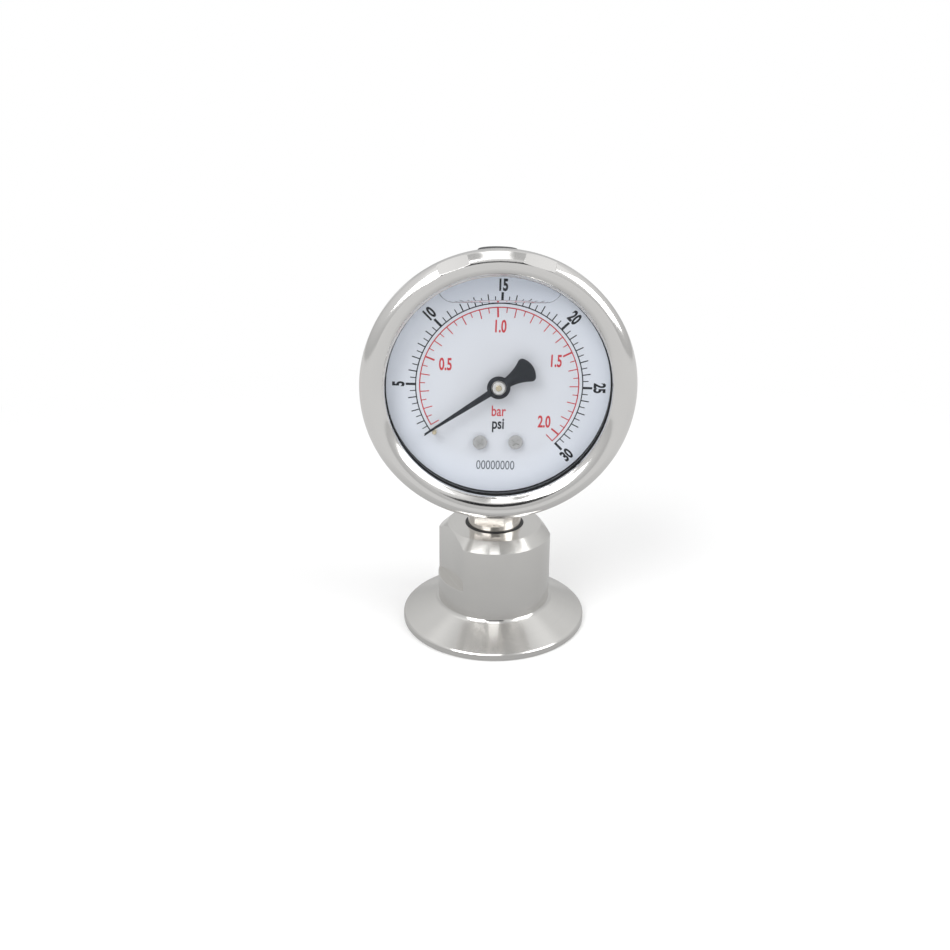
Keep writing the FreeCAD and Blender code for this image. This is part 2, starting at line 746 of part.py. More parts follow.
def pointer():
    """Tapering blade, round middle and fan-shaped tail, turned to the rest angle."""
    disc = size("pointer_disc")
    root = size("pointer_root_half")
    tip = size("pointer_tip_half")
    length = size("pointer_length")
    neck = size("tail_neck_half")
    fan = size("tail_end_half")
    tail = size("tail_length")
    wall = size("pointer_wall")
    shoulder = size("tail_neck_length")
    flare = tail - size("tail_bow")
    waist = neck + (fan - neck) * size("tail_flare")
    arm = blade([
        Part.LineSegment(V(0, 0, root), V(length, 0, tip)).toShape(),
        Part.LineSegment(V(length, 0, tip), V(length, 0, -tip)).toShape(),
        Part.LineSegment(V(length, 0, -tip), V(0, 0, -root)).toShape(),
        Part.LineSegment(V(0, 0, -root), V(0, 0, root)).toShape()], wall)
    edges = [Part.LineSegment(V(0, 0, -neck), V(0, 0, neck)).toShape()]
    for side in (1, -1):
        edges.append(Part.LineSegment(V(0, 0, side * neck), V(-shoulder, 0, side * neck)).toShape())
        edges.append(Part.Arc(V(-shoulder, 0, side * neck),
                              V(-(shoulder + flare) / 2, 0, side * waist),
                              V(-flare, 0, side * fan)).toShape())
    edges.append(Part.Arc(V(-flare, 0, fan), V(-tail, 0, 0), V(-flare, 0, -fan)).toShape())
    fantail = blade(edges, wall)
    corners = [edge for edge in fantail.Edges
               if abs(edge.CenterOfMass.x + flare) < 1e-6 and abs(abs(edge.CenterOfMass.z) - fan) < 1e-6]
    fantail = fantail.makeFillet(size("tail_rounding"), corners)
    middle = Part.makeCylinder(disc, wall, V(0, 0, 0), Y_AXIS)
    hole = Part.makeCylinder(size("hub_spigot"), wall, V(0, 0, 0), Y_AXIS)
    solid = middle.fuse([arm, fantail]).cut(hole).removeSplitter()
    solid.rotate(V(0, 0, 0), Y_AXIS, -size("pointer_rest_angle"))
    return shaped("pointer", solid, "pointer_front")


def pointer_hub():
    """Bright bush pressed on the arbor, which clamps the blade between its face and its barrel."""
    front = "pointer_front"
    rear = "pointer_front + pointer_wall"
    face = "pointer_front - hub_face"
    return dial_turned("pointer_hub", [
        ("arbor_radius", face), ("hub_radius - edge_break", face), ("hub_radius", "%s + edge_break" % face),
        ("hub_radius", front), ("hub_spigot", front), ("hub_spigot", rear),
        ("hub_radius - edge_break", rear), ("hub_radius - edge_break", "%s + hub_barrel" % rear),
        ("arbor_radius", "%s + hub_barrel" % rear)])


# ---------------------------------------------------------------- movement

def movement_plate(label, rear, screws):
    """Front or back plate, with bearing holes for the two arbors."""
    bearing = "arbor_radius + running_clearance"
    holes = [("0", "0", bearing), ("0", "-gear_distance", bearing)]
    holes += [("%d * %s" % (side, across), "-" + drop, "screw_thread_radius")
              for side in (-1, 1) for across, drop in [screws]]
    edge = rounded_rectangle("-plate_half_width", "plate_half_width", "-plate_drop", "plate_rise",
                             "plate_corner")
    return plate(label, rear, "plate_wall", points=edge, holes=holes)


def movement_pillars():
    places = [(side, up) for side in (-1, 1) for up in ("pillar_high", "-pillar_low")]
    return plate("movement_pillars", "gap_rear", "plate_gap",
                 discs=[("%d * pillar_across" % side, up, "pillar_radius") for side, up in places])


def movement_screws():
    """Two screws through the back plate into the stem's block."""
    parts = []
    for side in (-1, 1):
        across = "%d * movement_screw_across" % side
        tag = "%d" % (side + 1)
        parts.append(rod("movement_screw_head_" + tag, "movement_screw_head",
                         "gap_rear - movement_screw_height", "gap_rear", across, "-pillar_low"))
        parts.append(rod("movement_screw_shank_" + tag, "screw_thread_radius", "gap_rear",
                         "block_front + movement_screw_reach", across, "-pillar_low"))
    return boolean("fuse", "movement_screws", parts[0], parts[1:])


def involute(base, radius):
    """Angle in radians that an involute of the base circle has turned at a radius."""
    roll = math.sqrt(max((radius / base) ** 2 - 1, 0.0))
    return roll - math.atan(roll)


def tooth_flank(teeth, addendum, dedendum):
    """Half-angle of the tooth at a few radii, from its root to its tip, with involute flanks."""
    module = size("gear_module")
    pitch = module * teeth / 2
    base = pitch * math.cos(math.radians(size("pressure_angle")))
    half = math.pi / (2 * teeth) - size("gear_backlash") / (2 * pitch)
    radii = [pitch - dedendum * module]
    low = max(base, radii[0] + 0.01)
    high = pitch + addendum * module
    radii += [low + (high - low) * step / 3 for step in range(4)]
    return [(radius, half + involute(base, pitch) - involute(base, max(radius, base))) for radius in radii]


def toothed_edge(teeth, flank, count, first):
    """Points along a run of teeth; the first tooth is centred on the angle given in degrees."""
    points = []
    for index in range(count):
        middle = first + 360.0 * index / teeth
        points += [polar(radius, middle - math.degrees(half)) for radius, half in flank]
        points += [polar(radius, middle + math.degrees(half)) for radius, half in reversed(flank)]
    return points


def pinion_arbor():
    """Pinion cut in one piece with the shaft that carries the pointer."""
    teeth = int(size("pinion_teeth"))
    flank = tooth_flank(teeth, size("pinion_addendum"), size("pinion_dedendum"))
    first = 270.0 + 180.0 / teeth
    points = toothed_edge(teeth, flank, teeth, first)
    width = size("sector_wall + 2 * pinion_overhang")
    gear = Part.Face(Part.makePolygon(points + points[:1])).extrude(V(0, width, 0))
    gear.translate(V(0, size("sector_front - pinion_overhang"), 0))
    front = size("pointer_front - hub_face - arbor_stand")
    rear = size("block_front - arbor_end_gap")
    shaft = Part.makeCylinder(size("arbor_radius"), rear - front, V(0, front, 0), Y_AXIS)
    return shaped("pinion_arbor", gear.fuse(shaft))


def sector_centre():
    return V(0, 0, -size("gear_distance"))


def tail_place():
    """The link's pivot on the sector's tail at rest, half the swing below level."""
    return sector_centre() + polar(size("sector_tail"), -size("sector_swing") / 2)


def sector_gear():
    """Toothed rim, hub, two spokes and the tail that the link drives, at its rest angle."""
    teeth = int(size("sector_wheel_teeth"))
    spare = int(size("sector_spare_teeth"))
    wall = size("sector_wall")
    pitch = 360.0 / teeth
    count = math.ceil(size("sector_swing") / pitch) + 2 * spare
    flank = tooth_flank(teeth, size("sector_addendum"), size("sector_dedendum"))
    middle = 90.0 - size("sector_swing") / 2
    first = 90.0 + (spare - count + 1) * pitch
    edge = toothed_edge(teeth, flank, count, first)
    inner = flank[0][0] - size("sector_rim")
    low = first - pitch / 2
    high = first + (count - 0.5) * pitch
    rim_points = [polar(flank[0][0], low)] + edge + [polar(flank[0][0], high), polar(inner, high)]
    edges = [Part.LineSegment(start, end).toShape() for start, end in zip(rim_points[:-1], rim_points[1:])]
    edges.append(Part.Arc(polar(inner, high), polar(inner, (low + high) / 2), polar(inner, low)).toShape())
    edges.append(Part.LineSegment(polar(inner, low), rim_points[0]).toShape())
    rim = blade(edges, wall)
    hub = Part.makeCylinder(size("sector_hub"), wall, V(0, 0, 0), Y_AXIS)
    pieces = [hub]
    spread = size("sector_spoke_spread")
    for spoke in ((low + middle) / 2 - spread, (high + middle) / 2 + spread):
        arm = Part.makeBox(inner + size("sector_rim") / 4, wall, size("sector_rim"),
                           V(0, 0, -size("sector_rim") / 2))
        arm.rotate(V(0, 0, 0), Y_AXIS, -spoke)
        pieces.append(arm)
    tail_angle = -size("sector_swing") / 2
    tail_width = size("sector_tail_width")
    tail = Part.makeBox(size("sector_tail"), wall, tail_width, V(0, 0, -tail_width / 2))
    tail.rotate(V(0, 0, 0), Y_AXIS, -tail_angle)
    end = polar(size("sector_tail"), tail_angle)
    boss = Part.makeCylinder(tail_width / 2 + size("sector_boss_margin"), wall, end, Y_AXIS)
    solid = rim.fuse(pieces + [tail, boss])
    bore = Part.makeCylinder(size("arbor_radius"), wall, V(0, 0, 0), Y_AXIS)
    pivot = Part.makeCylinder(size("link_pin_radius + running_clearance"), wall, end, Y_AXIS)
    solid = solid.cut([bore, pivot]).removeSplitter()
    solid.translate(sector_centre())
    return shaped("sector_gear", solid, "sector_front")


def sector_arbor():
    return rod("sector_arbor", "arbor_radius", "plate_front + arbor_end_gap",
               "block_front - arbor_end_gap", "0", "-gear_distance")


def link():
    """Upright strip from the sector's tail to the tube's tip."""
    low = tail_place()
    high = low + V(0, 0, size("link_length"))
    half = size("link_half_width")
    wall = size("link_wall")
    strip = Part.makeBox(2 * half, wall, size("link_length"), low - V(half, 0, 0))
    ends = [Part.makeCylinder(half, wall, place, Y_AXIS) for place in (low, high)]
    holes = [Part.makeCylinder(size("link_pin_radius"), wall, place, Y_AXIS) for place in (low, high)]
    solid = strip.fuse(ends).cut(holes).removeSplitter()
    return shaped("link", solid, "sector_front - link_wall - running_clearance")


def link_pins():
    """Pin through the sector's tail, and a longer one that reaches back to the tube's tip."""
    front = size("sector_front - link_wall - running_clearance")
    low = tail_place()
    high = low + V(0, 0, size("link_length"))
    radius = size("link_pin_radius")
    short_end = size("sector_front + sector_wall + link_pin_stand")
    long_end = size("gap_rear - tip_arm_lap + tip_arm_wall + link_pin_stand")
    short = Part.makeCylinder(radius, short_end - front, low, Y_AXIS)
    long = Part.makeCylinder(radius, long_end - front, high, Y_AXIS)
    return shaped("link_pins", Part.makeCompound([short, long]), front)


def hairspring():
    """Flat spiral that takes up the play of the teeth."""
    start = size("hairspring_start")
    end = size("hairspring_end")
    turns = size("hairspring_turns")
    last = size("hairspring_stud_angle")
    half = size("hairspring_wall") / 2
    steps = int(turns * 16)
    sides = []
    for shift in (-half, half):
        places = []
        for step in range(steps + 1):
            share = step / steps
            places.append(polar(start + (end - start) * share + shift, last - 360.0 * turns * (1 - share)))
        curve = Part.BSplineCurve()
        curve.interpolate(places)
        sides.append(curve)
    edges = [side.toShape() for side in sides]
    edges.append(Part.LineSegment(sides[0].StartPoint, sides[1].StartPoint).toShape())
    edges.append(Part.LineSegment(sides[0].EndPoint, sides[1].EndPoint).toShape())
    return shaped("hairspring", blade(edges, size("hairspring_width")), "gap_front + hairspring_gap")


def hairspring_collet():
    front = "gap_front + hairspring_gap - collet_lap"
    rear = "gap_front + hairspring_gap + hairspring_width + 2 * collet_lap"
    return dial_turned("hairspring_collet", [
        ("arbor_radius", front), ("collet_radius", front), ("collet_radius", rear), ("arbor_radius", rear)])


def hairspring_stud():
    """Post on the front plate that holds the spiral's outer end."""
    place = polar(size("hairspring_end + hairspring_wall / 2 + stud_radius"), size("hairspring_stud_angle"))
    return rod("hairspring_stud", "stud_radius", "gap_front",
               "gap_front + hairspring_gap + hairspring_width + collet_lap", place.x, place.z)


# ---------------------------------------------------------------- bourdon tube

def tube_section(shrink):
    """Flat oval across the tube, seen in the plane through the dial's axis."""
    half = size("tube_width") / 2 - shrink
    thick = size("tube_thickness") / 2 - shrink
    circle_radius = size("tube_circle")
    middle = size("tube_middle")
    straight = half - thick
    inside = V(circle_radius - thick, middle, 0)
    outside = V(circle_radius + thick, middle, 0)
    along = V(0, straight, 0)
    return Part.Wire(Part.__sortEdges__([
        Part.LineSegment(inside - along, inside + along).toShape(),
        Part.Arc(inside + along, V(circle_radius, middle + half, 0), outside + along).toShape(),
        Part.LineSegment(outside + along, outside - along).toShape(),
        Part.Arc(outside - along, V(circle_radius, middle - half, 0), inside - along).toShape()]))


def swept_tube(shrink, start, stop):
    """The section spun about the dial's axis from one angle to another."""
    solid = Part.Face(tube_section(shrink)).revolve(V(0, 0, 0), Y_AXIS, -(stop - start))
    solid.rotate(V(0, 0, 0), Y_AXIS, -start)
    return solid


def tube_envelope():
    """The space that the tube's root takes in the stem's block."""
    root = size("tube_root_angle")
    return shaped("tube_envelope", swept_tube(0.0, root - 90.0, root))


def bourdon_tube():
    ends = size("tube_end_angle"), size("tube_root_angle")
    return shaped("bourdon_tube", swept_tube(0.0, *ends).cut(swept_tube(size("tube_wall"), *ends)))


def tube_tip():
    """Cap that closes the tube, with an arm to the link. The arm's slot leaves the pin its travel."""
    wall = size("tip_wall")
    half = size("tube_width") / 2 + wall
    thick = size("tube_thickness") / 2 + wall
    end = size("tube_end_angle")
    low_y = size("tube_middle") - half
    section = Part.makePlane(2 * thick, 2 * half, V(size("tube_circle") - thick, low_y, 0), V(0, 0, 1))
    cap = section.revolve(V(0, 0, 0), Y_AXIS, size("tip_span"))
    cap.rotate(V(0, 0, 0), Y_AXIS, -end)
    pivot = tail_place() + V(0, 0, size("link_length"))
    travel = 2 * size("sector_tail") * math.sin(math.radians(size("sector_swing") / 2))
    drift = size("sector_tail") * (1 - math.cos(math.radians(size("sector_swing") / 2)))
    radius = size("link_pin_radius")
    arm_front = size("gap_rear - tip_arm_lap")
    arm_wall = size("tip_arm_wall")
    arm_width = size("tip_arm_width")
    margin = radius + size("tip_eye_margin")
    left = size("plate_half_width + tip_side_gap")
    plate_bottom = pivot.z - margin
    eye = Part.makeBox(pivot.x + drift + margin - left, arm_wall, travel + 2 * margin,
                       V(left, arm_front, plate_bottom))
    reach = size("tube_circle - tip_arm_root")
    arm = Part.makeBox(reach - left, arm_wall, arm_width, V(left, arm_front, plate_bottom))
    riser = Part.makeBox(arm_width, low_y - arm_front, arm_width,
                         V(reach - arm_width, arm_front, plate_bottom))
    slot_half = radius + drift / 2 + size("tip_slot_play")
    slot_middle = pivot.x + drift / 2
    slot = Part.makeBox(2 * slot_half, arm_wall, travel, V(slot_middle - slot_half, arm_front, pivot.z))
    rounds = [Part.makeCylinder(slot_half, arm_wall, V(slot_middle, arm_front, height), Y_AXIS)
              for height in (pivot.z, pivot.z + travel)]
    solid = cap.fuse([eye, arm, riser]).cut([slot] + rounds).removeSplitter()
    return shaped("tube_tip", solid)


# ---------------------------------------------------------------- the gauge

nodes = [
    seal_housing(), diaphragm(), diaphragm_ring(), thread_washer(), neck_seal(),
    gauge_stem(), restrictor(), case_seal(), gauge_case(), fill_plug(), bezel(), window(), window_gasket(),
    dial_plate(), dial_screws(), stop_pin(), pointer(), pointer_hub(),
    movement_plate("movement_front_plate", "gap_front", ("screw_across", "screw_drop")),
    movement_plate("movement_back_plate", "block_front", ("movement_screw_across", "pillar_low")),
    movement_pillars(), movement_screws(), pinion_arbor(), sector_gear(), sector_arbor(),
    link(), link_pins(), hairspring(), hairspring_collet(), hairspring_stud(), bourdon_tube(), tube_tip(),
]
doc.recompute()

for thing in doc.Objects:
    if "Invalid" in thing.State or "Error" in thing.State:
        raise RuntimeError("%s is %s" % (thing.Label, thing.State))
for node in nodes:
    if node.Shape.isNull() or not node.Shape.isValid():
        raise RuntimeError("%s has no valid shape" % node.Label)

os.makedirs("parts", exist_ok=True)
for node in nodes:
    node.Shape.exportStep("parts/%s.step" % node.Label)
    print(node.Label, len(node.Shape.Solids), "solid, volume", round(node.Shape.Volume, 2))
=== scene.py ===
import json
import math

import bpy
from bpy.props import FloatProperty, FloatVectorProperty, PointerProperty
from mathutils import Matrix, Vector

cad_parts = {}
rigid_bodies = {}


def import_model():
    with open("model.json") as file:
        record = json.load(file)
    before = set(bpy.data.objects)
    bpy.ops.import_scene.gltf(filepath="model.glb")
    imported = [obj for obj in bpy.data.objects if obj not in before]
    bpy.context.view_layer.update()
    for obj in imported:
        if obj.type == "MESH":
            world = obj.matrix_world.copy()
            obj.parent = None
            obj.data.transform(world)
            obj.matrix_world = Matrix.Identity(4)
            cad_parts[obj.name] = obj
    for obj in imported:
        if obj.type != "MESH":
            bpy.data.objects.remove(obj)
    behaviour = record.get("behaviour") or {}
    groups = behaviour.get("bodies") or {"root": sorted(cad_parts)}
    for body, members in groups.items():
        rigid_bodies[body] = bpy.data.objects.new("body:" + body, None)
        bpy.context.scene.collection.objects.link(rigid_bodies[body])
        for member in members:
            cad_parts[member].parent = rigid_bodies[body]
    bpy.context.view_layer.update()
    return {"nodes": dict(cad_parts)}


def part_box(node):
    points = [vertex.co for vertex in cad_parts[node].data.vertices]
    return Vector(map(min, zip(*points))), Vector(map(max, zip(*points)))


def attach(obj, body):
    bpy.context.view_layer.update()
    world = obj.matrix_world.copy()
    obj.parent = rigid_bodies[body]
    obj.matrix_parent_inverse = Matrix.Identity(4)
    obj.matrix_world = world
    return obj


bl_info = {
    "name": "Sanitary Pressure Gauge",
    "version": (1, 0, 0),
    "blender": (4, 5, 0),
    "location": "3D View > Sidebar > Gauge",
    "description": "Dial printing, glycerine filling, metal finishes and studio for a pressure gauge",
    "category": "Object",
}

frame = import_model()

MM = 0.001
QUARTER_TURN = math.radians(90.0)
DIAL_LOW, DIAL_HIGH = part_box("dial_plate")
WINDOW_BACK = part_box("window")[1].y
AXIS_HEIGHT = (DIAL_LOW.z + DIAL_HIGH.z) / 2
DIAL_RADIUS = (DIAL_HIGH.x - DIAL_LOW.x) / 2
DIAL_FRONT = DIAL_LOW.y

# The printing sits a little turned, and a little to the right, on its plate.
PRINT_TURN = math.radians(1.35)
PRINT_SHIFT = 0.25 * MM
FULL_SCALE = 30.0
# Height of a capital, as a share of the font's size.
CAP_SHARE = 0.7

# Steps round a full printed circle, and corners of the liquid's round edge.
CIRCLE_STEPS = 144
RIM_CORNERS = 192
# Depth of the bumps of a surface's grain, and how fast a bent normal counts as an edge that gets a painted
# highlight.
GRAIN_DEPTH = 0.02 * MM
EDGE_GAIN = 6.0
# Colours that more than one material uses.
CLEAR_TINT = (0.985, 0.99, 0.995, 1.0)
WHITE = (1.0, 1.0, 1.0, 1.0)

# Which nodes wear which finish.
FINISHES = {
    "housing_steel": ("seal_housing", "diaphragm_ring"),
    "diaphragm_foil": ("diaphragm",),
    "copper_seal": ("thread_washer",),
    "black_rubber": ("neck_seal", "case_seal", "fill_plug", "window_gasket"),
    "stem_steel": ("gauge_stem", "tube_tip"),
    "brass_parts": (
        "restrictor", "stop_pin", "movement_front_plate", "movement_back_plate", "movement_pillars",
        "pinion_arbor", "sector_gear", "sector_arbor", "link", "hairspring_collet", "hairspring_stud"),
    "case_steel": ("gauge_case",),
    "bezel_steel": ("bezel",),
    "window_clear": ("window",),
    "dial_white": ("dial_plate",),
    "bright_screw": ("dial_screws", "movement_screws", "link_pins"),
    "pointer_black": ("pointer",),
    "bright_hub": ("pointer_hub",),
    "spring_bronze": ("hairspring",),
    "tube_steel": ("bourdon_tube",),
}


# ---------------------------------------------------------------- settings

class GaugePrintSettings(bpy.types.PropertyGroup):
    zero_angle: FloatProperty(
        name="Zero Angle", description="Angle of the scale's zero, anticlockwise from three o'clock",
        default=math.radians(225.0), subtype="ANGLE")
    sweep: FloatProperty(
        name="Sweep", description="Angle from zero to full scale", default=math.radians(270.0),
        subtype="ANGLE")
    bar_angle: FloatProperty(
        name="Angle per Bar", description="Angle of one bar on the red circle",
        default=math.radians(131.87), subtype="ANGLE")
    bar_end: FloatProperty(name="Red End", description="Where the red circle ends, in bar", default=2.05)
    psi_radius: FloatProperty(
        name="Black Circle", description="Radius of the black circle", default=20.8 * MM, unit="LENGTH")
    bar_radius: FloatProperty(
        name="Red Circle", description="Radius of the red circle", default=19.8 * MM, unit="LENGTH")
    line_width: FloatProperty(
        name="Line Width", description="Width of the fine printed lines", default=0.28 * MM, unit="LENGTH")
    ink_height: FloatProperty(
        name="Ink Height", description="Thickness of the printed ink", default=0.02 * MM, unit="LENGTH")
    numeral_radius: FloatProperty(
        name="Black Numerals", description="Radius of the centres of the black numerals",
        default=25.1 * MM, unit="LENGTH")
    bar_numeral_radius: FloatProperty(
        name="Red Numerals", description="Radius of the centres of the red numerals",
        default=14.7 * MM, unit="LENGTH")
    bar_numeral_lift: FloatProperty(
        name="Red Numeral Lift", description="How much further out the upper red numerals stand",
        default=0.5 * MM, unit="LENGTH")
    black: FloatVectorProperty(
        name="Black Ink", description="Colour of the psi scale", default=(0.012, 0.014, 0.018),
        subtype="COLOR", min=0.0, max=1.0)
    red: FloatVectorProperty(
        name="Red Ink", description="Colour of the bar scale", default=(0.52, 0.035, 0.045),
        subtype="COLOR", min=0.0, max=1.0)
    grey: FloatVectorProperty(
        name="Grey Ink", description="Colour of the stamped number", default=(0.10, 0.11, 0.13),
        subtype="COLOR", min=0.0, max=1.0)


class GaugeFillSettings(bpy.types.PropertyGroup):
    level: FloatProperty(
        name="Level", description="Height of the liquid above the dial's centre",
        default=21.35 * MM, unit="LENGTH")
    bubble_half_width: FloatProperty(
        name="Bubble Half Width", description="Half the width of the air bubble", default=15.0 * MM,
        unit="LENGTH")
    end_rounding: FloatProperty(
        name="End Rounding", description="Radius at the ends of the bubble",
        default=4.0 * MM, unit="LENGTH")
    wall_rounding: FloatProperty(
        name="Wall Rounding", description="Radius of the liquid's climb at window and dial",
        default=0.6 * MM, unit="LENGTH")
    refraction: FloatProperty(
        name="Refractive Index", description="Refractive index of glycerine and window",
        default=1.47, min=1.0, max=2.0)


class GaugeMetalSettings(bpy.types.PropertyGroup):
    steel: FloatVectorProperty(
        name="Steel", description="Colour of the turned stainless steel", default=(0.74, 0.73, 0.71),
        subtype="COLOR", min=0.0, max=1.0)
    polished: FloatVectorProperty(
        name="Polished Steel", description="Colour of the polished bezel", default=(0.80, 0.79, 0.775),
        subtype="COLOR", min=0.0, max=1.0)
    brass: FloatVectorProperty(
        name="Brass", description="Colour of the movement", default=(0.80, 0.70, 0.50), subtype="COLOR",
        min=0.0, max=1.0)


class GaugeStageSettings(bpy.types.PropertyGroup):
    distance: FloatProperty(
        name="Camera Distance", description="Distance from the aim point", default=0.24525, unit="LENGTH")
    elevation: FloatProperty(
        name="Camera Elevation", description="Height angle of the camera", default=math.radians(17.31),
        subtype="ANGLE")
    azimuth: FloatProperty(
        name="Camera Azimuth", description="Angle round the gauge from its front",
        default=math.radians(-2.46), subtype="ANGLE")
    roll: FloatProperty(
        name="Camera Roll", description="Tilt of the camera", default=math.radians(0.74), subtype="ANGLE")
    aim_height: FloatProperty(
        name="Aim Height", description="Height of the aim point", default=60.0 * MM, unit="LENGTH")
    key_power: FloatProperty(
        name="Key Light", description="Power of the main softbox", default=2.6, unit="POWER")
    fill_power: FloatProperty(
        name="Fill Light", description="Power of the side softbox", default=1.4, unit="POWER")


# ---------------------------------------------------------------- modelling helpers

def deselect_all():
    if bpy.context.object and bpy.context.object.mode != "OBJECT":
        bpy.ops.object.mode_set(mode="OBJECT")
    for obj in bpy.context.view_layer.objects:
        obj.select_set(False)


def take(obj):
    """Make the object the only selected one."""
    deselect_all()
    obj.select_set(True)
    bpy.context.view_layer.objects.active = obj
    return obj


def named(name):
    """Name the object that an operator has just added."""
    obj = bpy.context.object
    obj.name = name
    obj.data.name = name
    return obj


def settle(obj):
    """Put the object's place, turn and scale into its mesh."""
    take(obj)
    bpy.ops.object.transform_apply(location=True, rotation=True, scale=True)
    return obj


def joined(name, pieces):
    deselect_all()
    for piece in pieces:
        piece.select_set(True)
    bpy.context.view_layer.objects.active = pieces[0]
    if len(pieces) > 1:
        bpy.ops.object.join()
    return named(name)


def lay_on_dial(obj):
    """Stand artwork drawn flat round the origin up against the front of the dial."""
    obj.rotation_euler = (QUARTER_TURN, PRINT_TURN, 0.0)
    obj.location = (PRINT_SHIFT, DIAL_FRONT, AXIS_HEIGHT)
    return settle(obj)


def put_on(obj, material, body="root"):
    obj.data.materials.clear()
    obj.data.materials.append(material)
    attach(obj, body)
    return obj


# ---------------------------------------------------------------- shader helpers

class Tree:
    """Short names for building a node tree."""

    def __init__(self, tree):
        self.tree = tree

    def add(self, kind, inputs=(), **settings):
        made = self.tree.nodes.new("ShaderNode" + kind)
        for key, value in settings.items():
            setattr(made, key, value)
        for key, value in dict(inputs).items():
            if isinstance(value, bpy.types.NodeSocket):
                self.tree.links.new(value, made.inputs[key])
            else:
                made.inputs[key].default_value = value
        return made

    def math(self, operation, first, second=0.0, third=0.0, clamp=False):
        made = self.add("Math", {0: first, 1: second, 2: third}, operation=operation, use_clamp=clamp)
        return made.outputs[0]

    def mixed(self, factor, low, high):
        made = self.add("Mix", data_type="RGBA")
        for socket, value in ((made.inputs[0], factor), (made.inputs[6], low), (made.inputs[7], high)):
            if isinstance(value, bpy.types.NodeSocket):
                self.tree.links.new(value, socket)
            else:
                socket.default_value = value
        return made.outputs[2]

    def ramp(self, factor, stops):
        made = self.add("ValToRGB", {"Fac": factor})
        elements = made.color_ramp.elements
        while len(elements) < len(stops):
            elements.new(0.5)
        for element, (position, value) in zip(elements, stops):
            element.position = position
            element.color = (value, value, value, 1.0)
        return made.outputs["Color"]

    def noise(self, vector, scale, detail=2.0, roughness=0.5):
        made = self.add("TexNoise", {
            "Vector": vector, "Scale": scale, "Detail": detail, "Roughness": roughness})
        return made.outputs["Fac"]

    def surface(self, shader):
        output = self.add("OutputMaterial")
        self.tree.links.new(shader, output.inputs["Surface"])


def rgba(colour, scale=1.0):
    return (colour[0] * scale, colour[1] * scale, colour[2] * scale, 1.0)


def shader_group(name, inputs, outputs):
    """An empty node group with its named sockets, and the trees' own input and output nodes."""
    group = bpy.data.node_groups.new(name, "ShaderNodeTree")
    for label, kind, default in inputs:
        socket = group.interface.new_socket(name=label, in_out="INPUT", socket_type="NodeSocket" + kind)
        if default is not None:
            socket.default_value = default
    for label, kind in outputs:
        group.interface.new_socket(name=label, in_out="OUTPUT", socket_type="NodeSocket" + kind)
    entry = group.nodes.new("NodeGroupInput")
    leave = group.nodes.new("NodeGroupOutput")
    return group, Tree(group), entry.outputs, leave.inputs


def group_node(tree, name, inputs):
    made = tree.tree.nodes.new("ShaderNodeGroup")
    made.node_tree = bpy.data.node_groups[name]
    for key, value in inputs.items():
        if isinstance(value, bpy.types.NodeSocket):
            tree.tree.links.new(value, made.inputs[key])
        else:
            made.inputs[key].default_value = value
    return made.outputs


def build_turned_grain():
    """Fine rings that a lathe tool leaves round the Z axis, with broad uneven patches over them."""
    group, tree, entry, leave = shader_group(
        "Turned Grain",
        [("Vector", "Vector", None), ("Ring Scale", "Float", 4000.0), ("Patch Scale", "Float", 60.0)],
        [("Rings", "Float"), ("Patches", "Float")])
    parts = tree.add("SeparateXYZ", {0: entry["Vector"]}).outputs
    radius = tree.math("SQRT", tree.math("ADD", tree.math("MULTIPLY", parts["X"], parts["X"]),
                                         tree.math("MULTIPLY", parts["Y"], parts["Y"])))
    section = tree.add("CombineXYZ", {"X": radius, "Y": parts["Z"], "Z": 0.0}).outputs[0]
    rings = tree.noise(section, entry["Ring Scale"], detail=3.0, roughness=0.65)
    group.links.new(rings, leave["Rings"])
    patches = tree.noise(entry["Vector"], entry["Patch Scale"], detail=3.0, roughness=0.55)
    group.links.new(patches, leave["Patches"])


def build_metal_finish():
    """Colour, roughness and height of a metal from its grain, patches and edges."""
    group, tree, entry, leave = shader_group(
        "Metal Finish",
        [("Rings", "Float", 0.5), ("Patches", "Float", 0.5), ("Edges", "Float", 0.0),
         ("Color", "Color", (0.8, 0.8, 0.8, 1.0)), ("Stain", "Float", 0.12),
         ("Roughness", "Float", 0.3), ("Roughness Spread", "Float", 0.12)],
        [("Color", "Color"), ("Roughness", "Float"), ("Height", "Float")])
    shade = tree.math("MULTIPLY_ADD", tree.math("SUBTRACT", entry["Patches"], 0.5), entry["Stain"], 1.0)
    shade = tree.math("MULTIPLY_ADD", tree.math("SUBTRACT", entry["Rings"], 0.5),
                      tree.math("MULTIPLY", entry["Stain"], 0.8), shade)
    tinted = tree.add("VectorMath", {0: entry["Color"], "Scale": shade}, operation="SCALE").outputs[0]
    # Edges are lightened towards white: a painted highlight.
    bright = tree.mixed(tree.math("MULTIPLY", entry["Edges"], 0.35), tinted, (0.95, 0.95, 0.94, 1.0))
    group.links.new(bright, leave["Color"])
    rough = tree.math("MULTIPLY_ADD", tree.math("SUBTRACT", entry["Rings"], 0.5), entry["Roughness Spread"],
                      entry["Roughness"])
    rough = tree.math("MULTIPLY_ADD", tree.math("SUBTRACT", entry["Patches"], 0.5),
                      entry["Roughness Spread"], rough)
    rough = tree.math("MULTIPLY_ADD", entry["Edges"], -0.05, rough, clamp=True)
    group.links.new(rough, leave["Roughness"])
    group.links.new(entry["Rings"], leave["Height"])


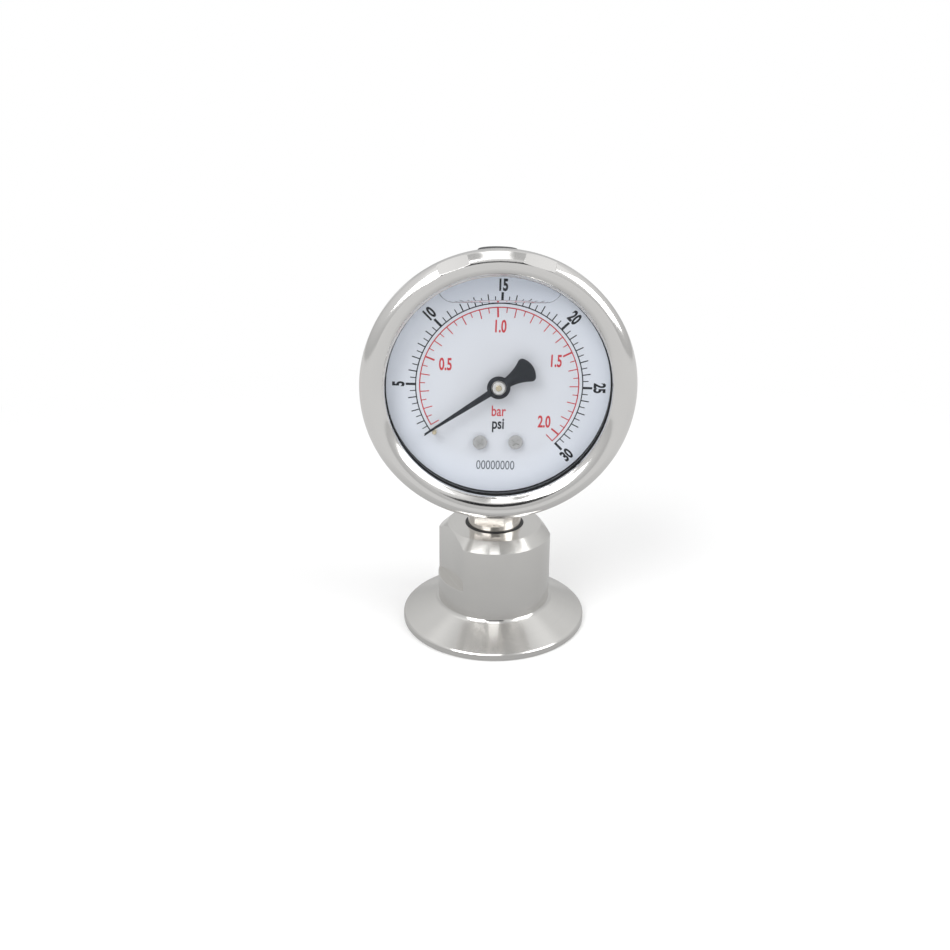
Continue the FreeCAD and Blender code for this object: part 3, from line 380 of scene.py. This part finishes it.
def build_edge_wear():
    """1 along sharp edges, where the metal gets a painted highlight, and a normal that rounds them."""
    group, tree, entry, leave = shader_group(
        "Edge Rounding And Highlight", [("Radius", "Float", 0.0002)], [("Edges", "Float"), ("Normal", "Vector")])
    soft = tree.add("Bevel", {"Radius": entry["Radius"]}, samples=4).outputs[0]
    flat = tree.add("NewGeometry").outputs["Normal"]
    near = tree.add("VectorMath", {0: soft, 1: flat}, operation="DOT_PRODUCT").outputs["Value"]
    bend = tree.math("SUBTRACT", 1.0, near)
    group.links.new(tree.math("MULTIPLY", bend, EDGE_GAIN, clamp=True), leave["Edges"])
    group.links.new(soft, leave["Normal"])


def build_dust():
    """Sparse specks and a faint film, for rubber and painted parts."""
    group, tree, entry, leave = shader_group(
        "Dust", [("Vector", "Vector", None), ("Amount", "Float", 0.2), ("Speck Scale", "Float", 900.0)],
        [("Mask", "Float")])
    speckle = tree.noise(entry["Vector"], entry["Speck Scale"], detail=4.0, roughness=0.7)
    specks = tree.ramp(speckle, [(0.58, 0.0), (0.72, 1.0)])
    film = tree.noise(entry["Vector"], scale=90.0)
    both = tree.math("MULTIPLY_ADD", specks, 0.7, tree.math("MULTIPLY", film, 0.5))
    group.links.new(tree.math("MULTIPLY", both, entry["Amount"], clamp=True), leave["Mask"])


# ---------------------------------------------------------------- materials

def blank_material(name):
    material = bpy.data.materials.new(name)
    material.use_nodes = True
    material.node_tree.nodes.clear()
    return material, Tree(material.node_tree)


def axis_coordinates(tree, about):
    """Object coordinates centred on the stem (Z) or on the dial's axis, which is then turned to Z."""
    coordinates = tree.add("TexCoord").outputs["Object"]
    mapping = tree.add("Mapping", {"Vector": coordinates}, vector_type="POINT")
    if about == "dial":
        mapping.inputs["Rotation"].default_value = (-QUARTER_TURN, 0.0, 0.0)
        mapping.inputs["Location"].default_value = (0.0, -AXIS_HEIGHT, 0.0)
    return mapping.outputs[0]


def metal(name, colour, roughness, about="stem", ring_scale=4000.0, stain=0.12, spread=0.12, grooves=0.1,
          anisotropy=0.0, edge=0.15):
    """Metal with lathe rings round the stem or the dial's axis, and a painted highlight on its edges."""
    material, tree = blank_material(name)
    vector = axis_coordinates(tree, about)
    grain = group_node(tree, "Turned Grain", {"Vector": vector, "Ring Scale": ring_scale})
    # Sharp edges get a rounded normal, a little less roughness and a painted highlight.
    rounding_and_highlight = group_node(tree, "Edge Rounding And Highlight", {"Radius": edge * MM})
    finish = group_node(tree, "Metal Finish", {
        "Rings": grain["Rings"], "Patches": grain["Patches"], "Edges": rounding_and_highlight["Edges"],
        "Color": rgba(colour), "Stain": stain, "Roughness": roughness, "Roughness Spread": spread})
    bump = tree.add("Bump", {"Height": finish["Height"], "Normal": rounding_and_highlight["Normal"],
                             "Strength": grooves, "Distance": GRAIN_DEPTH})
    shader = tree.add("BsdfPrincipled", {
        "Base Color": finish["Color"], "Metallic": 1.0, "Roughness": finish["Roughness"],
        "Normal": bump.outputs[0], "Anisotropic": anisotropy, "Anisotropic Rotation": 0.25})
    if anisotropy:
        tangent = tree.add("Tangent", direction_type="RADIAL", axis="Z" if about == "stem" else "Y")
        tree.tree.links.new(tangent.outputs[0], shader.inputs["Tangent"])
    tree.surface(shader.outputs[0])
    return material


def rubber(name):
    material, tree = blank_material(name)
    vector = tree.add("TexCoord").outputs["Object"]
    dust = group_node(tree, "Dust", {"Vector": vector, "Amount": 0.12, "Speck Scale": 1400.0})["Mask"]
    pebble = tree.noise(vector, scale=5200.0, detail=3.0, roughness=0.6)
    bump = tree.add("Bump", {"Height": pebble, "Strength": 0.12, "Distance": GRAIN_DEPTH}).outputs[0]
    clean, dusty = (0.012, 0.013, 0.015, 1.0), (0.16, 0.16, 0.16, 1.0)
    colour = tree.mixed(dust, clean, dusty)
    roughness = tree.math("MULTIPLY_ADD", pebble, 0.2, 0.36)
    tree.surface(tree.add("BsdfPrincipled", {
        "Base Color": colour, "Roughness": roughness, "Normal": bump}).outputs[0])
    return material


def lacquer(name, colour):
    """Black stoved lacquer with a faint orange peel."""
    material, tree = blank_material(name)
    vector = tree.add("TexCoord").outputs["Object"]
    dust = group_node(tree, "Dust", {"Vector": vector, "Amount": 0.04})["Mask"]
    peel = tree.noise(vector, scale=2600.0, roughness=0.4)
    bump = tree.add("Bump", {"Height": peel, "Strength": 0.06, "Distance": GRAIN_DEPTH}).outputs[0]
    tree.surface(tree.add("BsdfPrincipled", {
        "Base Color": tree.mixed(dust, rgba(colour), (0.2, 0.2, 0.21, 1.0)),
        "Roughness": tree.math("MULTIPLY_ADD", peel, 0.1, 0.42), "Normal": bump}).outputs[0])
    return material


def dial_enamel(name):
    """Bluish white enamel, lighter towards its rim and greyer in its middle: painted light that evens out
    the shade of the bezel and gasket.
    """
    material, tree = blank_material(name)
    vector = axis_coordinates(tree, "dial")
    parts = tree.add("SeparateXYZ", {0: vector}).outputs
    radius = tree.math("SQRT", tree.math("ADD", tree.math("MULTIPLY", parts["X"], parts["X"]),
                                         tree.math("MULTIPLY", parts["Y"], parts["Y"])))
    # Lighter rim and greyer middle: a painted highlight against the shade that the bezel and gasket cast
    # near the rim.
    rim = tree.ramp(tree.math("DIVIDE", radius, DIAL_RADIUS), [(0.3, 0.0), (0.68, 0.2), (0.96, 1.0)])
    grain = tree.noise(vector, scale=1800.0, detail=3.0, roughness=0.6)
    middle, edge, speck = (0.64, 0.645, 0.665, 1.0), (0.90, 0.93, 0.99, 1.0), (0.60, 0.62, 0.67, 1.0)
    colour = tree.mixed(rim, middle, edge)
    colour = tree.mixed(tree.math("MULTIPLY", grain, 0.04), colour, speck)
    bump = tree.add("Bump", {"Height": grain, "Strength": 0.04, "Distance": GRAIN_DEPTH / 2}).outputs[0]
    tree.surface(tree.add("BsdfPrincipled", {
        "Base Color": colour, "Roughness": tree.math("MULTIPLY_ADD", grain, 0.15, 0.38),
        "Normal": bump}).outputs[0])
    return material


def ink(name, colour):
    """Pad-printed ink, slightly uneven in depth."""
    material, tree = blank_material(name)
    vector = tree.add("TexCoord").outputs["Object"]
    uneven = tree.noise(vector, scale=3000.0, detail=3.0, roughness=0.6)
    thin = rgba(colour, scale=1.7)
    shade = tree.mixed(tree.math("MULTIPLY", uneven, 0.25), rgba(colour), thin)
    tree.surface(tree.add("BsdfPrincipled", {
        "Base Color": shade, "Roughness": tree.math("MULTIPLY_ADD", uneven, 0.2, 0.4)}).outputs[0])
    return material


def see_through(tree, bent, clear):
    """Bend what the camera and the mirrors see, and let the light that falls on the dial pass straight."""
    path = tree.add("LightPath").outputs
    soft = tree.add("MixShader", {0: path["Is Diffuse Ray"], 1: bent, 2: clear}).outputs[0]
    return tree.add("MixShader", {0: path["Is Shadow Ray"], 1: soft, 2: clear}).outputs[0]


def window_glass(name, refraction):
    """Clear pane that bends what lies behind it and mirrors, by the angle, on its outer faces."""
    material, tree = blank_material(name)
    bent = tree.add("BsdfRefraction", {"Color": CLEAR_TINT, "IOR": refraction, "Roughness": 0.0}).outputs[0]
    clear = tree.add("BsdfTransparent", {"Color": CLEAR_TINT}).outputs[0]
    smear = tree.noise(tree.add("TexCoord").outputs["Object"], scale=70.0, detail=3.0)
    gloss = tree.add("BsdfGlossy", {"Roughness": tree.math("MULTIPLY_ADD", smear, 0.04, 0.01)}).outputs[0]
    fresnel = tree.add("Fresnel", {"IOR": refraction}).outputs[0]
    outside = tree.math("SUBTRACT", 1.0, tree.add("NewGeometry").outputs["Backfacing"])
    coating = 0.5
    amount = tree.math("MULTIPLY", tree.math("MULTIPLY", fresnel, outside), coating)
    faced = tree.add("MixShader", {0: amount, 1: bent, 2: gloss}).outputs[0]
    tree.surface(see_through(tree, faced, clear))
    return material


def glycerine_liquid(name, refraction):
    """Clear liquid that bends what lies behind it, with painted shade where its edge climbs the window and
    the dial.
    """
    material, tree = blank_material(name)
    tint = (0.985, 0.99, 1.0, 1.0)
    normal = tree.add("SeparateXYZ", {0: tree.add("NewGeometry").outputs["Normal"]}).outputs
    facing = tree.math("ABSOLUTE", normal["Y"])
    # Darker tint where the surface turns away from facing the window: painted shade for the dark line along
    # the meniscus.
    meniscus_shade_mask = tree.ramp(facing, [(0.12, 0.0), (0.3, 1.0), (0.8, 1.0), (0.97, 0.0)])
    seen = tree.mixed(meniscus_shade_mask, tint, (0.16, 0.17, 0.20, 1.0))
    bent = tree.add("BsdfRefraction", {"Color": seen, "IOR": refraction, "Roughness": 0.0}).outputs[0]
    clear = tree.add("BsdfTransparent", {"Color": tint}).outputs[0]
    tree.surface(see_through(tree, bent, clear))
    return material


# ---------------------------------------------------------------- operators

class GAUGE_OT_finish_parts(bpy.types.Operator):
    """Give every carried-over part its metal, rubber, enamel or glass"""
    bl_idname = "gauge.finish_parts"
    bl_label = "Finish Parts"

    def execute(self, context):
        metals = context.scene.gauge_metals
        build_turned_grain()
        build_metal_finish()
        build_edge_wear()
        build_dust()
        makers = {
            "housing_steel": lambda name: metal(name, metals.steel, 0.17, anisotropy=0.85,
                                                spread=0.06, grooves=0.06),
            "diaphragm_foil": lambda name: metal(name, metals.steel, 0.25, spread=0.06),
            "copper_seal": lambda name: metal(name, (0.80, 0.42, 0.28), 0.35),
            "black_rubber": rubber,
            "stem_steel": lambda name: metal(name, (0.70, 0.67, 0.63), 0.22, spread=0.08),
            "brass_parts": lambda name: metal(name, metals.brass, 0.28, about="dial", ring_scale=2500.0),
            "case_steel": lambda name: metal(name, metals.polished, 0.18, about="dial", spread=0.06),
            "bezel_steel": lambda name: metal(name, metals.polished, 0.13, about="dial", stain=0.06,
                                              spread=0.05, grooves=0.04),
            "window_clear": lambda name: window_glass(name, context.scene.gauge_fill.refraction),
            "dial_white": dial_enamel,
            "bright_screw": lambda name: metal(name, (0.66, 0.65, 0.63), 0.24, about="dial", edge=0.1),
            "pointer_black": lambda name: lacquer(name, (0.008, 0.011, 0.016)),
            "bright_hub": lambda name: metal(name, (0.96, 0.94, 0.89), 0.35, about="dial", edge=0.08),
            "spring_bronze": lambda name: metal(name, (0.66, 0.42, 0.22), 0.25, about="dial", edge=0.03),
            "tube_steel": lambda name: metal(name, (0.62, 0.60, 0.57), 0.3, about="dial"),
        }
        for finish, nodes in FINISHES.items():
            material = makers[finish](finish)
            for node in nodes:
                for slot in frame["nodes"][node].material_slots:
                    slot.material = material
        return {"FINISHED"}


def print_circle(name, radius, width, height, start, end):
    """A ring segment of ink: its section spun about the dial's centre, clockwise from start to end."""
    deselect_all()
    bpy.ops.mesh.primitive_plane_add(size=1.0, location=(radius, 0.0, height / 2),
                                     rotation=(QUARTER_TURN, 0.0, 0.0))
    ring = named(name)
    ring.scale = (width, height, 1.0)
    settle(ring)
    bpy.ops.object.mode_set(mode="EDIT")
    bpy.ops.mesh.select_all(action="SELECT")
    bpy.ops.mesh.spin(steps=CIRCLE_STEPS, angle=start - end, center=(0.0, 0.0, 0.0), axis=(0.0, 0.0, 1.0))
    bpy.ops.mesh.select_all(action="SELECT")
    bpy.ops.mesh.remove_doubles(threshold=height / 20)
    bpy.ops.mesh.normals_make_consistent(inside=False)
    bpy.ops.object.mode_set(mode="OBJECT")
    ring.rotation_euler = (0.0, 0.0, start)
    return settle(ring)


def print_ticks(name, inner, outer, width, height, first, step, count):
    """One bar of ink, softened at its corners, then copied round the dial, clockwise from the first."""
    deselect_all()
    bpy.ops.mesh.primitive_cube_add(size=1.0, location=((inner + outer) / 2, 0.0, height / 2))
    tick = named(name)
    tick.scale = (outer - inner, width, height)
    settle(tick)
    bpy.ops.object.mode_set(mode="EDIT")
    bpy.ops.mesh.select_all(action="SELECT")
    bpy.ops.mesh.bevel(offset=height / 4, segments=1)
    if count > 1:
        bpy.ops.mesh.select_all(action="SELECT")
        bpy.ops.mesh.spin(steps=count - 1, dupli=True, angle=step * (count - 1), center=(0.0, 0.0, 0.0),
                          axis=(0.0, 0.0, 1.0))
    bpy.ops.object.mode_set(mode="OBJECT")
    tick.rotation_euler = (0.0, 0.0, first)
    return settle(tick)


def print_words(name, words, cap_height, narrowing, across, up, turn, height, bold):
    """Lettering centred on a point of the dial."""
    deselect_all()
    bpy.ops.object.text_add(location=(0.0, 0.0, 0.0))
    text = named(name)
    text.data.body = words
    text.data.size = cap_height / CAP_SHARE
    text.data.align_x = "CENTER"
    text.data.offset = bold
    text.data.extrude = height / 2
    text.data.resolution_u = 6
    take(text)
    bpy.ops.object.convert(target="MESH")
    letters = named(name)
    letters.scale = (narrowing, 1.0, 1.0)
    letters.location = (0.0, -cap_height / 2, height / 2)
    settle(letters)
    letters.rotation_euler = (0.0, 0.0, turn)
    letters.location = (across, up, 0.0)
    return settle(letters)


class GAUGE_OT_print_psi_scale(bpy.types.Operator):
    """Print the black circle with its ticks and numerals"""
    bl_idname = "gauge.print_psi_scale"
    bl_label = "Print Black Scale"

    def execute(self, context):
        marks = context.scene.gauge_print
        degree = marks.sweep / FULL_SCALE
        black = ink("black_ink", marks.black)

        def angle(psi):
            return marks.zero_angle - degree * psi

        first = 1.0
        reach = marks.psi_radius - marks.line_width / 2
        line = marks.line_width
        bold_line = 0.6 * MM
        half_end, unit_end, five_end = (marks.psi_radius + length * MM for length in (1.45, 2.07, 2.45))
        thin = marks.ink_height
        pieces = [
            print_circle("psi_circle", marks.psi_radius, line, thin, angle(first), angle(FULL_SCALE)),
            print_ticks("psi_halves", reach, half_end, line * 0.85, thin, angle(first + 0.5), degree, 29),
            print_ticks("psi_units", reach, unit_end, line, thin * 1.1, angle(first), degree, 30),
            print_ticks("psi_fives", reach, five_end, bold_line, thin * 1.2, angle(5.0), 5.0 * degree, 6),
        ]
        scale = lay_on_dial(joined("psi_scale", pieces))
        put_on(scale, black)
        numerals = []
        for psi in range(5, int(FULL_SCALE) + 1, 5):
            where = angle(psi)
            turn = where - QUARTER_TURN
            if psi == FULL_SCALE:
                turn += 2 * QUARTER_TURN
            numerals.append(print_words(
                "psi_%d" % psi, str(psi), cap_height=2.8 * MM, narrowing=0.66,
                across=marks.numeral_radius * math.cos(where), up=marks.numeral_radius * math.sin(where),
                turn=turn, height=thin, bold=0.16 * MM))
        put_on(lay_on_dial(joined("psi_numerals", numerals)), black)
        return {"FINISHED"}


class GAUGE_OT_print_bar_scale(bpy.types.Operator):
    """Print the red circle with its ticks and numerals"""
    bl_idname = "gauge.print_bar_scale"
    bl_label = "Print Red Scale"

    def execute(self, context):
        marks = context.scene.gauge_print
        per_bar = marks.bar_angle
        red = ink("red_ink", marks.red)

        def angle(bar):
            return marks.zero_angle - per_bar * bar

        reach = marks.bar_radius + marks.line_width / 2
        line = marks.line_width
        thin = marks.ink_height
        bold_line = 0.45 * MM
        short_end, tenth_end, half_end = (marks.bar_radius - length * MM for length in (1.33, 2.3, 2.45))
        first, end = angle(0.1), angle(marks.bar_end)
        tenth = per_bar * 0.1
        pieces = [
            print_circle("bar_circle", marks.bar_radius, line, thin, first, end),
            print_ticks("bar_twentieths", short_end, reach, line * 0.8, thin, angle(0.15), tenth, 19),
            print_ticks("bar_tenths", tenth_end, reach, line * 0.9, thin * 1.1, first, tenth, 20),
            print_ticks("bar_halves", half_end, reach, bold_line, thin * 1.2, angle(0.5), per_bar * 0.5, 4),
            print_ticks("bar_end", tenth_end, reach, line, thin, end, 0.0, 1),
        ]
        put_on(lay_on_dial(joined("bar_scale", pieces)), red)
        numerals = []
        for step in range(1, 5):
            bar = step * 0.5
            where = angle(bar)
            radius = marks.bar_numeral_radius + marks.bar_numeral_lift * math.sin(where)
            numerals.append(print_words(
                "bar_%d" % step, "%.1f" % bar, cap_height=3.0 * MM, narrowing=0.62,
                across=radius * math.cos(where) + 0.4 * MM, up=radius * math.sin(where), turn=0.0,
                height=thin, bold=0.11 * MM))
        put_on(lay_on_dial(joined("bar_numerals", numerals)), red)
        return {"FINISHED"}


class GAUGE_OT_print_captions(bpy.types.Operator):
    """Print the two units below the centre and a blank number near the rim"""
    bl_idname = "gauge.print_captions"
    bl_label = "Print Captions"

    def execute(self, context):
        marks = context.scene.gauge_print
        thin = marks.ink_height
        unit = print_words("bar_caption", "bar", cap_height=2.7 * MM, narrowing=0.72, across=0.0,
                           up=-6.45 * MM, turn=0.0, height=thin, bold=0.05 * MM)
        put_on(lay_on_dial(unit), bpy.data.materials["red_ink"])
        unit = print_words("psi_caption", "psi", cap_height=2.8 * MM, narrowing=0.72, across=0.0,
                           up=-9.75 * MM, turn=0.0, height=thin, bold=0.09 * MM)
        put_on(lay_on_dial(unit), bpy.data.materials["black_ink"])
        number = print_words("blank_number", "00000000", cap_height=2.4 * MM, narrowing=0.72,
                             across=-0.3 * MM, up=-20.9 * MM, turn=0.0, height=thin, bold=0.0)
        put_on(lay_on_dial(number), ink("grey_ink", marks.grey))
        return {"FINISHED"}


class GAUGE_OT_fill_glycerine(bpy.types.Operator):
    """Fill the space between dial and window with glycerine, and leave an air bubble at the top"""
    bl_idname = "gauge.fill_glycerine"
    bl_label = "Fill With Glycerine"

    def execute(self, context):
        fill = context.scene.gauge_fill
        front = WINDOW_BACK + 0.05 * MM
        back = DIAL_FRONT + 0.25 * MM
        radius = DIAL_RADIUS + 0.75 * MM
        deselect_all()
        bpy.ops.mesh.primitive_cylinder_add(
            vertices=RIM_CORNERS, radius=radius, depth=back - front,
            location=(0.0, (front + back) / 2, AXIS_HEIGHT), rotation=(QUARTER_TURN, 0.0, 0.0))
        liquid = settle(named("glycerine"))
        bubble = self.air_bubble(fill, front, back)
        take(liquid)
        cut = liquid.modifiers.new("bubble", "BOOLEAN")
        cut.operation = "DIFFERENCE"
        cut.solver = "EXACT"
        cut.object = bubble
        bpy.ops.object.modifier_apply(modifier=cut.name)
        bpy.data.objects.remove(bubble)
        take(liquid)
        bpy.ops.object.shade_smooth_by_angle(angle=math.radians(35.0))
        put_on(liquid, glycerine_liquid("glycerine", fill.refraction))
        return {"FINISHED"}

    def air_bubble(self, fill, front, back):
        """Flat below, rounded up at its two ends and where the liquid climbs the window and the dial."""
        top = DIAL_RADIUS + 3.0 * MM
        deselect_all()
        bpy.ops.mesh.primitive_cube_add(
            size=1.0, location=(0.0, (front + back) / 2, AXIS_HEIGHT + (fill.level + top) / 2))
        bubble = named("air_bubble")
        bubble.scale = (2 * fill.bubble_half_width, back - front, top - fill.level)
        settle(bubble)
        for along, offset, segments in (("y", fill.end_rounding, 24), ("x", fill.wall_rounding, 12)):
            bpy.ops.object.mode_set(mode="EDIT")
            bpy.ops.mesh.select_all(action="DESELECT")
            bpy.ops.mesh.select_mode(type="EDGE")
            bpy.ops.object.mode_set(mode="OBJECT")
            low = AXIS_HEIGHT + fill.level + (0.1 * MM if along == "y" else fill.end_rounding * 1.05)
            for edge in bubble.data.edges:
                ends = [bubble.data.vertices[index].co for index in edge.vertices]
                way = ends[1] - ends[0]
                below = all(end.z < low for end in ends)
                lengthwise = abs(way.y) > 0.9 * way.length
                edge.select = below and lengthwise == (along == "y") and (
                    along == "y" or min(abs(ends[0].y - front), abs(ends[0].y - back)) < 0.01 * MM)
            bpy.ops.object.mode_set(mode="EDIT")
            bpy.ops.mesh.bevel(offset=offset, segments=segments, affect="EDGES", clamp_overlap=True)
            bpy.ops.object.mode_set(mode="OBJECT")
        return bubble


def area_light(name, power, side, place, aim):
    data = bpy.data.lights.new(name, "AREA")
    data.energy = power
    data.shape = "RECTANGLE"
    data.size = side
    data.size_y = side
    lamp = bpy.data.objects.new(name, data)
    bpy.context.scene.collection.objects.link(lamp)
    lamp.location = place
    lamp.rotation_euler = (Vector(aim) - Vector(place)).to_track_quat("-Z", "Y").to_euler()


class GAUGE_OT_set_stage(bpy.types.Operator):
    """Add the pale floor, the softboxes, the surroundings and the camera"""
    bl_idname = "gauge.set_stage"
    bl_label = "Set Stage"

    def execute(self, context):
        stage = context.scene.gauge_stage
        context.scene.view_settings.view_transform = "Standard"
        self.floor()
        self.dark_card()
        self.surroundings(context.scene)
        aim = (0.0, 0.0, stage.aim_height)
        area_light("key_softbox", stage.key_power, side=0.45, place=(-0.35, -0.45, 0.55), aim=aim)
        area_light("fill_softbox", stage.fill_power, side=0.40, place=(0.50, -0.25, 0.40), aim=aim)
        self.camera(context.scene, stage)
        return {"FINISHED"}

    def floor(self):
        """Pale board that turns into plain light further out. Mirrors see a glowing grey in its place,
        darker near the gauge: a painted reflection with painted shade.
        """
        deselect_all()
        bpy.ops.mesh.primitive_circle_add(vertices=96, radius=4.0, fill_type="NGON")
        floor = named("studio_floor")
        material, tree = blank_material("studio_floor")
        place = tree.add("TexCoord").outputs["Object"]
        grain = tree.noise(place, scale=300.0)
        pale, speck = (0.93, 0.93, 0.93, 1.0), (0.88, 0.88, 0.88, 1.0)
        shade = tree.mixed(tree.math("MULTIPLY", grain, 0.03), pale, speck)
        board = tree.add("BsdfPrincipled", {
            "Base Color": shade, "Roughness": 0.8, "Specular IOR Level": 0.1}).outputs[0]
        distance = tree.add("VectorMath", {0: place}, operation="LENGTH").outputs["Value"]
        reach = 0.5
        far = tree.math("DIVIDE", distance, reach)
        plain = tree.add("Emission", {"Color": WHITE}).outputs[0]
        faded = tree.add("MixShader", {0: tree.ramp(far, [(0.14, 0.0), (0.6, 1.0)]), 1: board, 2: plain})
        # What mirrors see of the floor: a grey glow, darker close to the gauge, a painted reflection with
        # painted shade.
        painted_mirror_glow = tree.add("Emission", {
            "Color": tree.ramp(far, [(0.06, 0.52), (0.2, 0.70), (0.7, 0.72)])}).outputs[0]
        glossy = tree.add("LightPath").outputs["Is Glossy Ray"]
        tree.surface(tree.add("MixShader", {0: glossy, 1: faded.outputs[0], 2: painted_mirror_glow}).outputs[0])
        floor.data.materials.append(material)

    def dark_card(self):
        """A black card above and behind the camera, which only mirrors show."""
        deselect_all()
        bpy.ops.mesh.primitive_plane_add(size=1.0, rotation=(QUARTER_TURN, 0.0, 0.0),
                                         location=(0.0, -0.27, 0.20))
        card = named("dark_card")
        card.scale = (0.19, 0.12, 1.0)
        settle(card)
        material, tree = blank_material("dark_card")
        tree.surface(tree.add("BsdfPrincipled", {
            "Base Color": (0.01, 0.01, 0.012, 1.0), "Specular IOR Level": 0.0}).outputs[0])
        card.data.materials.append(material)
        card.visible_camera = False
        card.visible_diffuse = False
        card.visible_transmission = False
        card.visible_shadow = False

    def surroundings(self, scene):
        """White to the camera. Mirrors show a grey sky, lighter upwards, with a bright strip overhead."""
        world = bpy.data.worlds.new("studio")
        scene.world = world
        world.use_nodes = True
        world.node_tree.nodes.clear()
        tree = Tree(world.node_tree)
        parts = tree.add("SeparateXYZ", {0: tree.add("TexCoord").outputs["Generated"]}).outputs
        height = tree.math("MULTIPLY_ADD", parts["Z"], 0.5, 0.5)
        sky = tree.ramp(height, [(0.45, 0.45), (0.62, 0.6), (0.8, 0.75)])
        side = tree.math("ABSOLUTE", parts["X"])
        strip = tree.ramp(side, [(0.105, 1.0), (0.125, 0.25), (0.27, 0.3), (0.4, 0.5)])
        overhead = tree.ramp(parts["Z"], [(0.72, 0.0), (0.8, 1.0)])
        bright = tree.add("VectorMath", {0: strip, "Scale": 1.9}, operation="SCALE").outputs[0]
        light = tree.mixed(overhead, sky, bright)
        seen = tree.add("LightPath").outputs["Is Camera Ray"]
        colour = tree.mixed(seen, light, WHITE)
        background = tree.add("Background", {"Color": colour, "Strength": 1.0}).outputs[0]
        output = tree.add("OutputWorld")
        world.node_tree.links.new(background, output.inputs["Surface"])

    def camera(self, scene, stage):
        back = Vector((math.sin(stage.azimuth) * math.cos(stage.elevation),
                       -math.cos(stage.azimuth) * math.cos(stage.elevation), math.sin(stage.elevation)))
        right = (-back).cross(Vector((0.0, 0.0, 1.0))).normalized()
        above = right.cross(-back)
        tilt = Matrix.Rotation(stage.roll, 3, back)
        axes = Matrix((tilt @ right, tilt @ above, back)).transposed()
        data = bpy.data.cameras.new("camera")
        data.sensor_width = 36.0
        data.lens = 34.97
        data.shift_x = -0.02195
        data.shift_y = -0.0668
        data.clip_start = 0.01
        camera = bpy.data.objects.new("camera", data)
        scene.collection.objects.link(camera)
        camera.matrix_world = Matrix.Translation(
            Vector((0.0, 0.0, stage.aim_height)) + back * stage.distance) @ axes.to_4x4()
        scene.camera = camera


class GAUGE_PT_panel(bpy.types.Panel):
    """Steps that finish the gauge"""
    bl_idname = "GAUGE_PT_panel"
    bl_label = "Pressure Gauge"
    bl_space_type = "VIEW_3D"
    bl_region_type = "UI"
    bl_category = "Gauge"

    def draw(self, context):
        for operator in OPERATORS:
            self.layout.operator(operator.bl_idname)


SETTINGS = {
    "gauge_print": GaugePrintSettings,
    "gauge_fill": GaugeFillSettings,
    "gauge_metals": GaugeMetalSettings,
    "gauge_stage": GaugeStageSettings,
}
OPERATORS = (
    GAUGE_OT_finish_parts,
    GAUGE_OT_print_psi_scale,
    GAUGE_OT_print_bar_scale,
    GAUGE_OT_print_captions,
    GAUGE_OT_fill_glycerine,
    GAUGE_OT_set_stage,
)


def register():
    for settings in SETTINGS.values():
        bpy.utils.register_class(settings)
    for name, settings in SETTINGS.items():
        setattr(bpy.types.Scene, name, PointerProperty(type=settings))
    for operator in OPERATORS:
        bpy.utils.register_class(operator)
    bpy.utils.register_class(GAUGE_PT_panel)


def unregister():
    bpy.utils.unregister_class(GAUGE_PT_panel)
    for operator in reversed(OPERATORS):
        bpy.utils.unregister_class(operator)
    for name in SETTINGS:
        delattr(bpy.types.Scene, name)
    for settings in reversed(SETTINGS.values()):
        bpy.utils.unregister_class(settings)


def main():
    register()
    bpy.ops.gauge.finish_parts()
    bpy.ops.gauge.print_psi_scale()
    bpy.ops.gauge.print_bar_scale()
    bpy.ops.gauge.print_captions()
    bpy.ops.gauge.fill_glycerine()
    bpy.ops.gauge.set_stage()


if __name__ == "__main__":
    main()
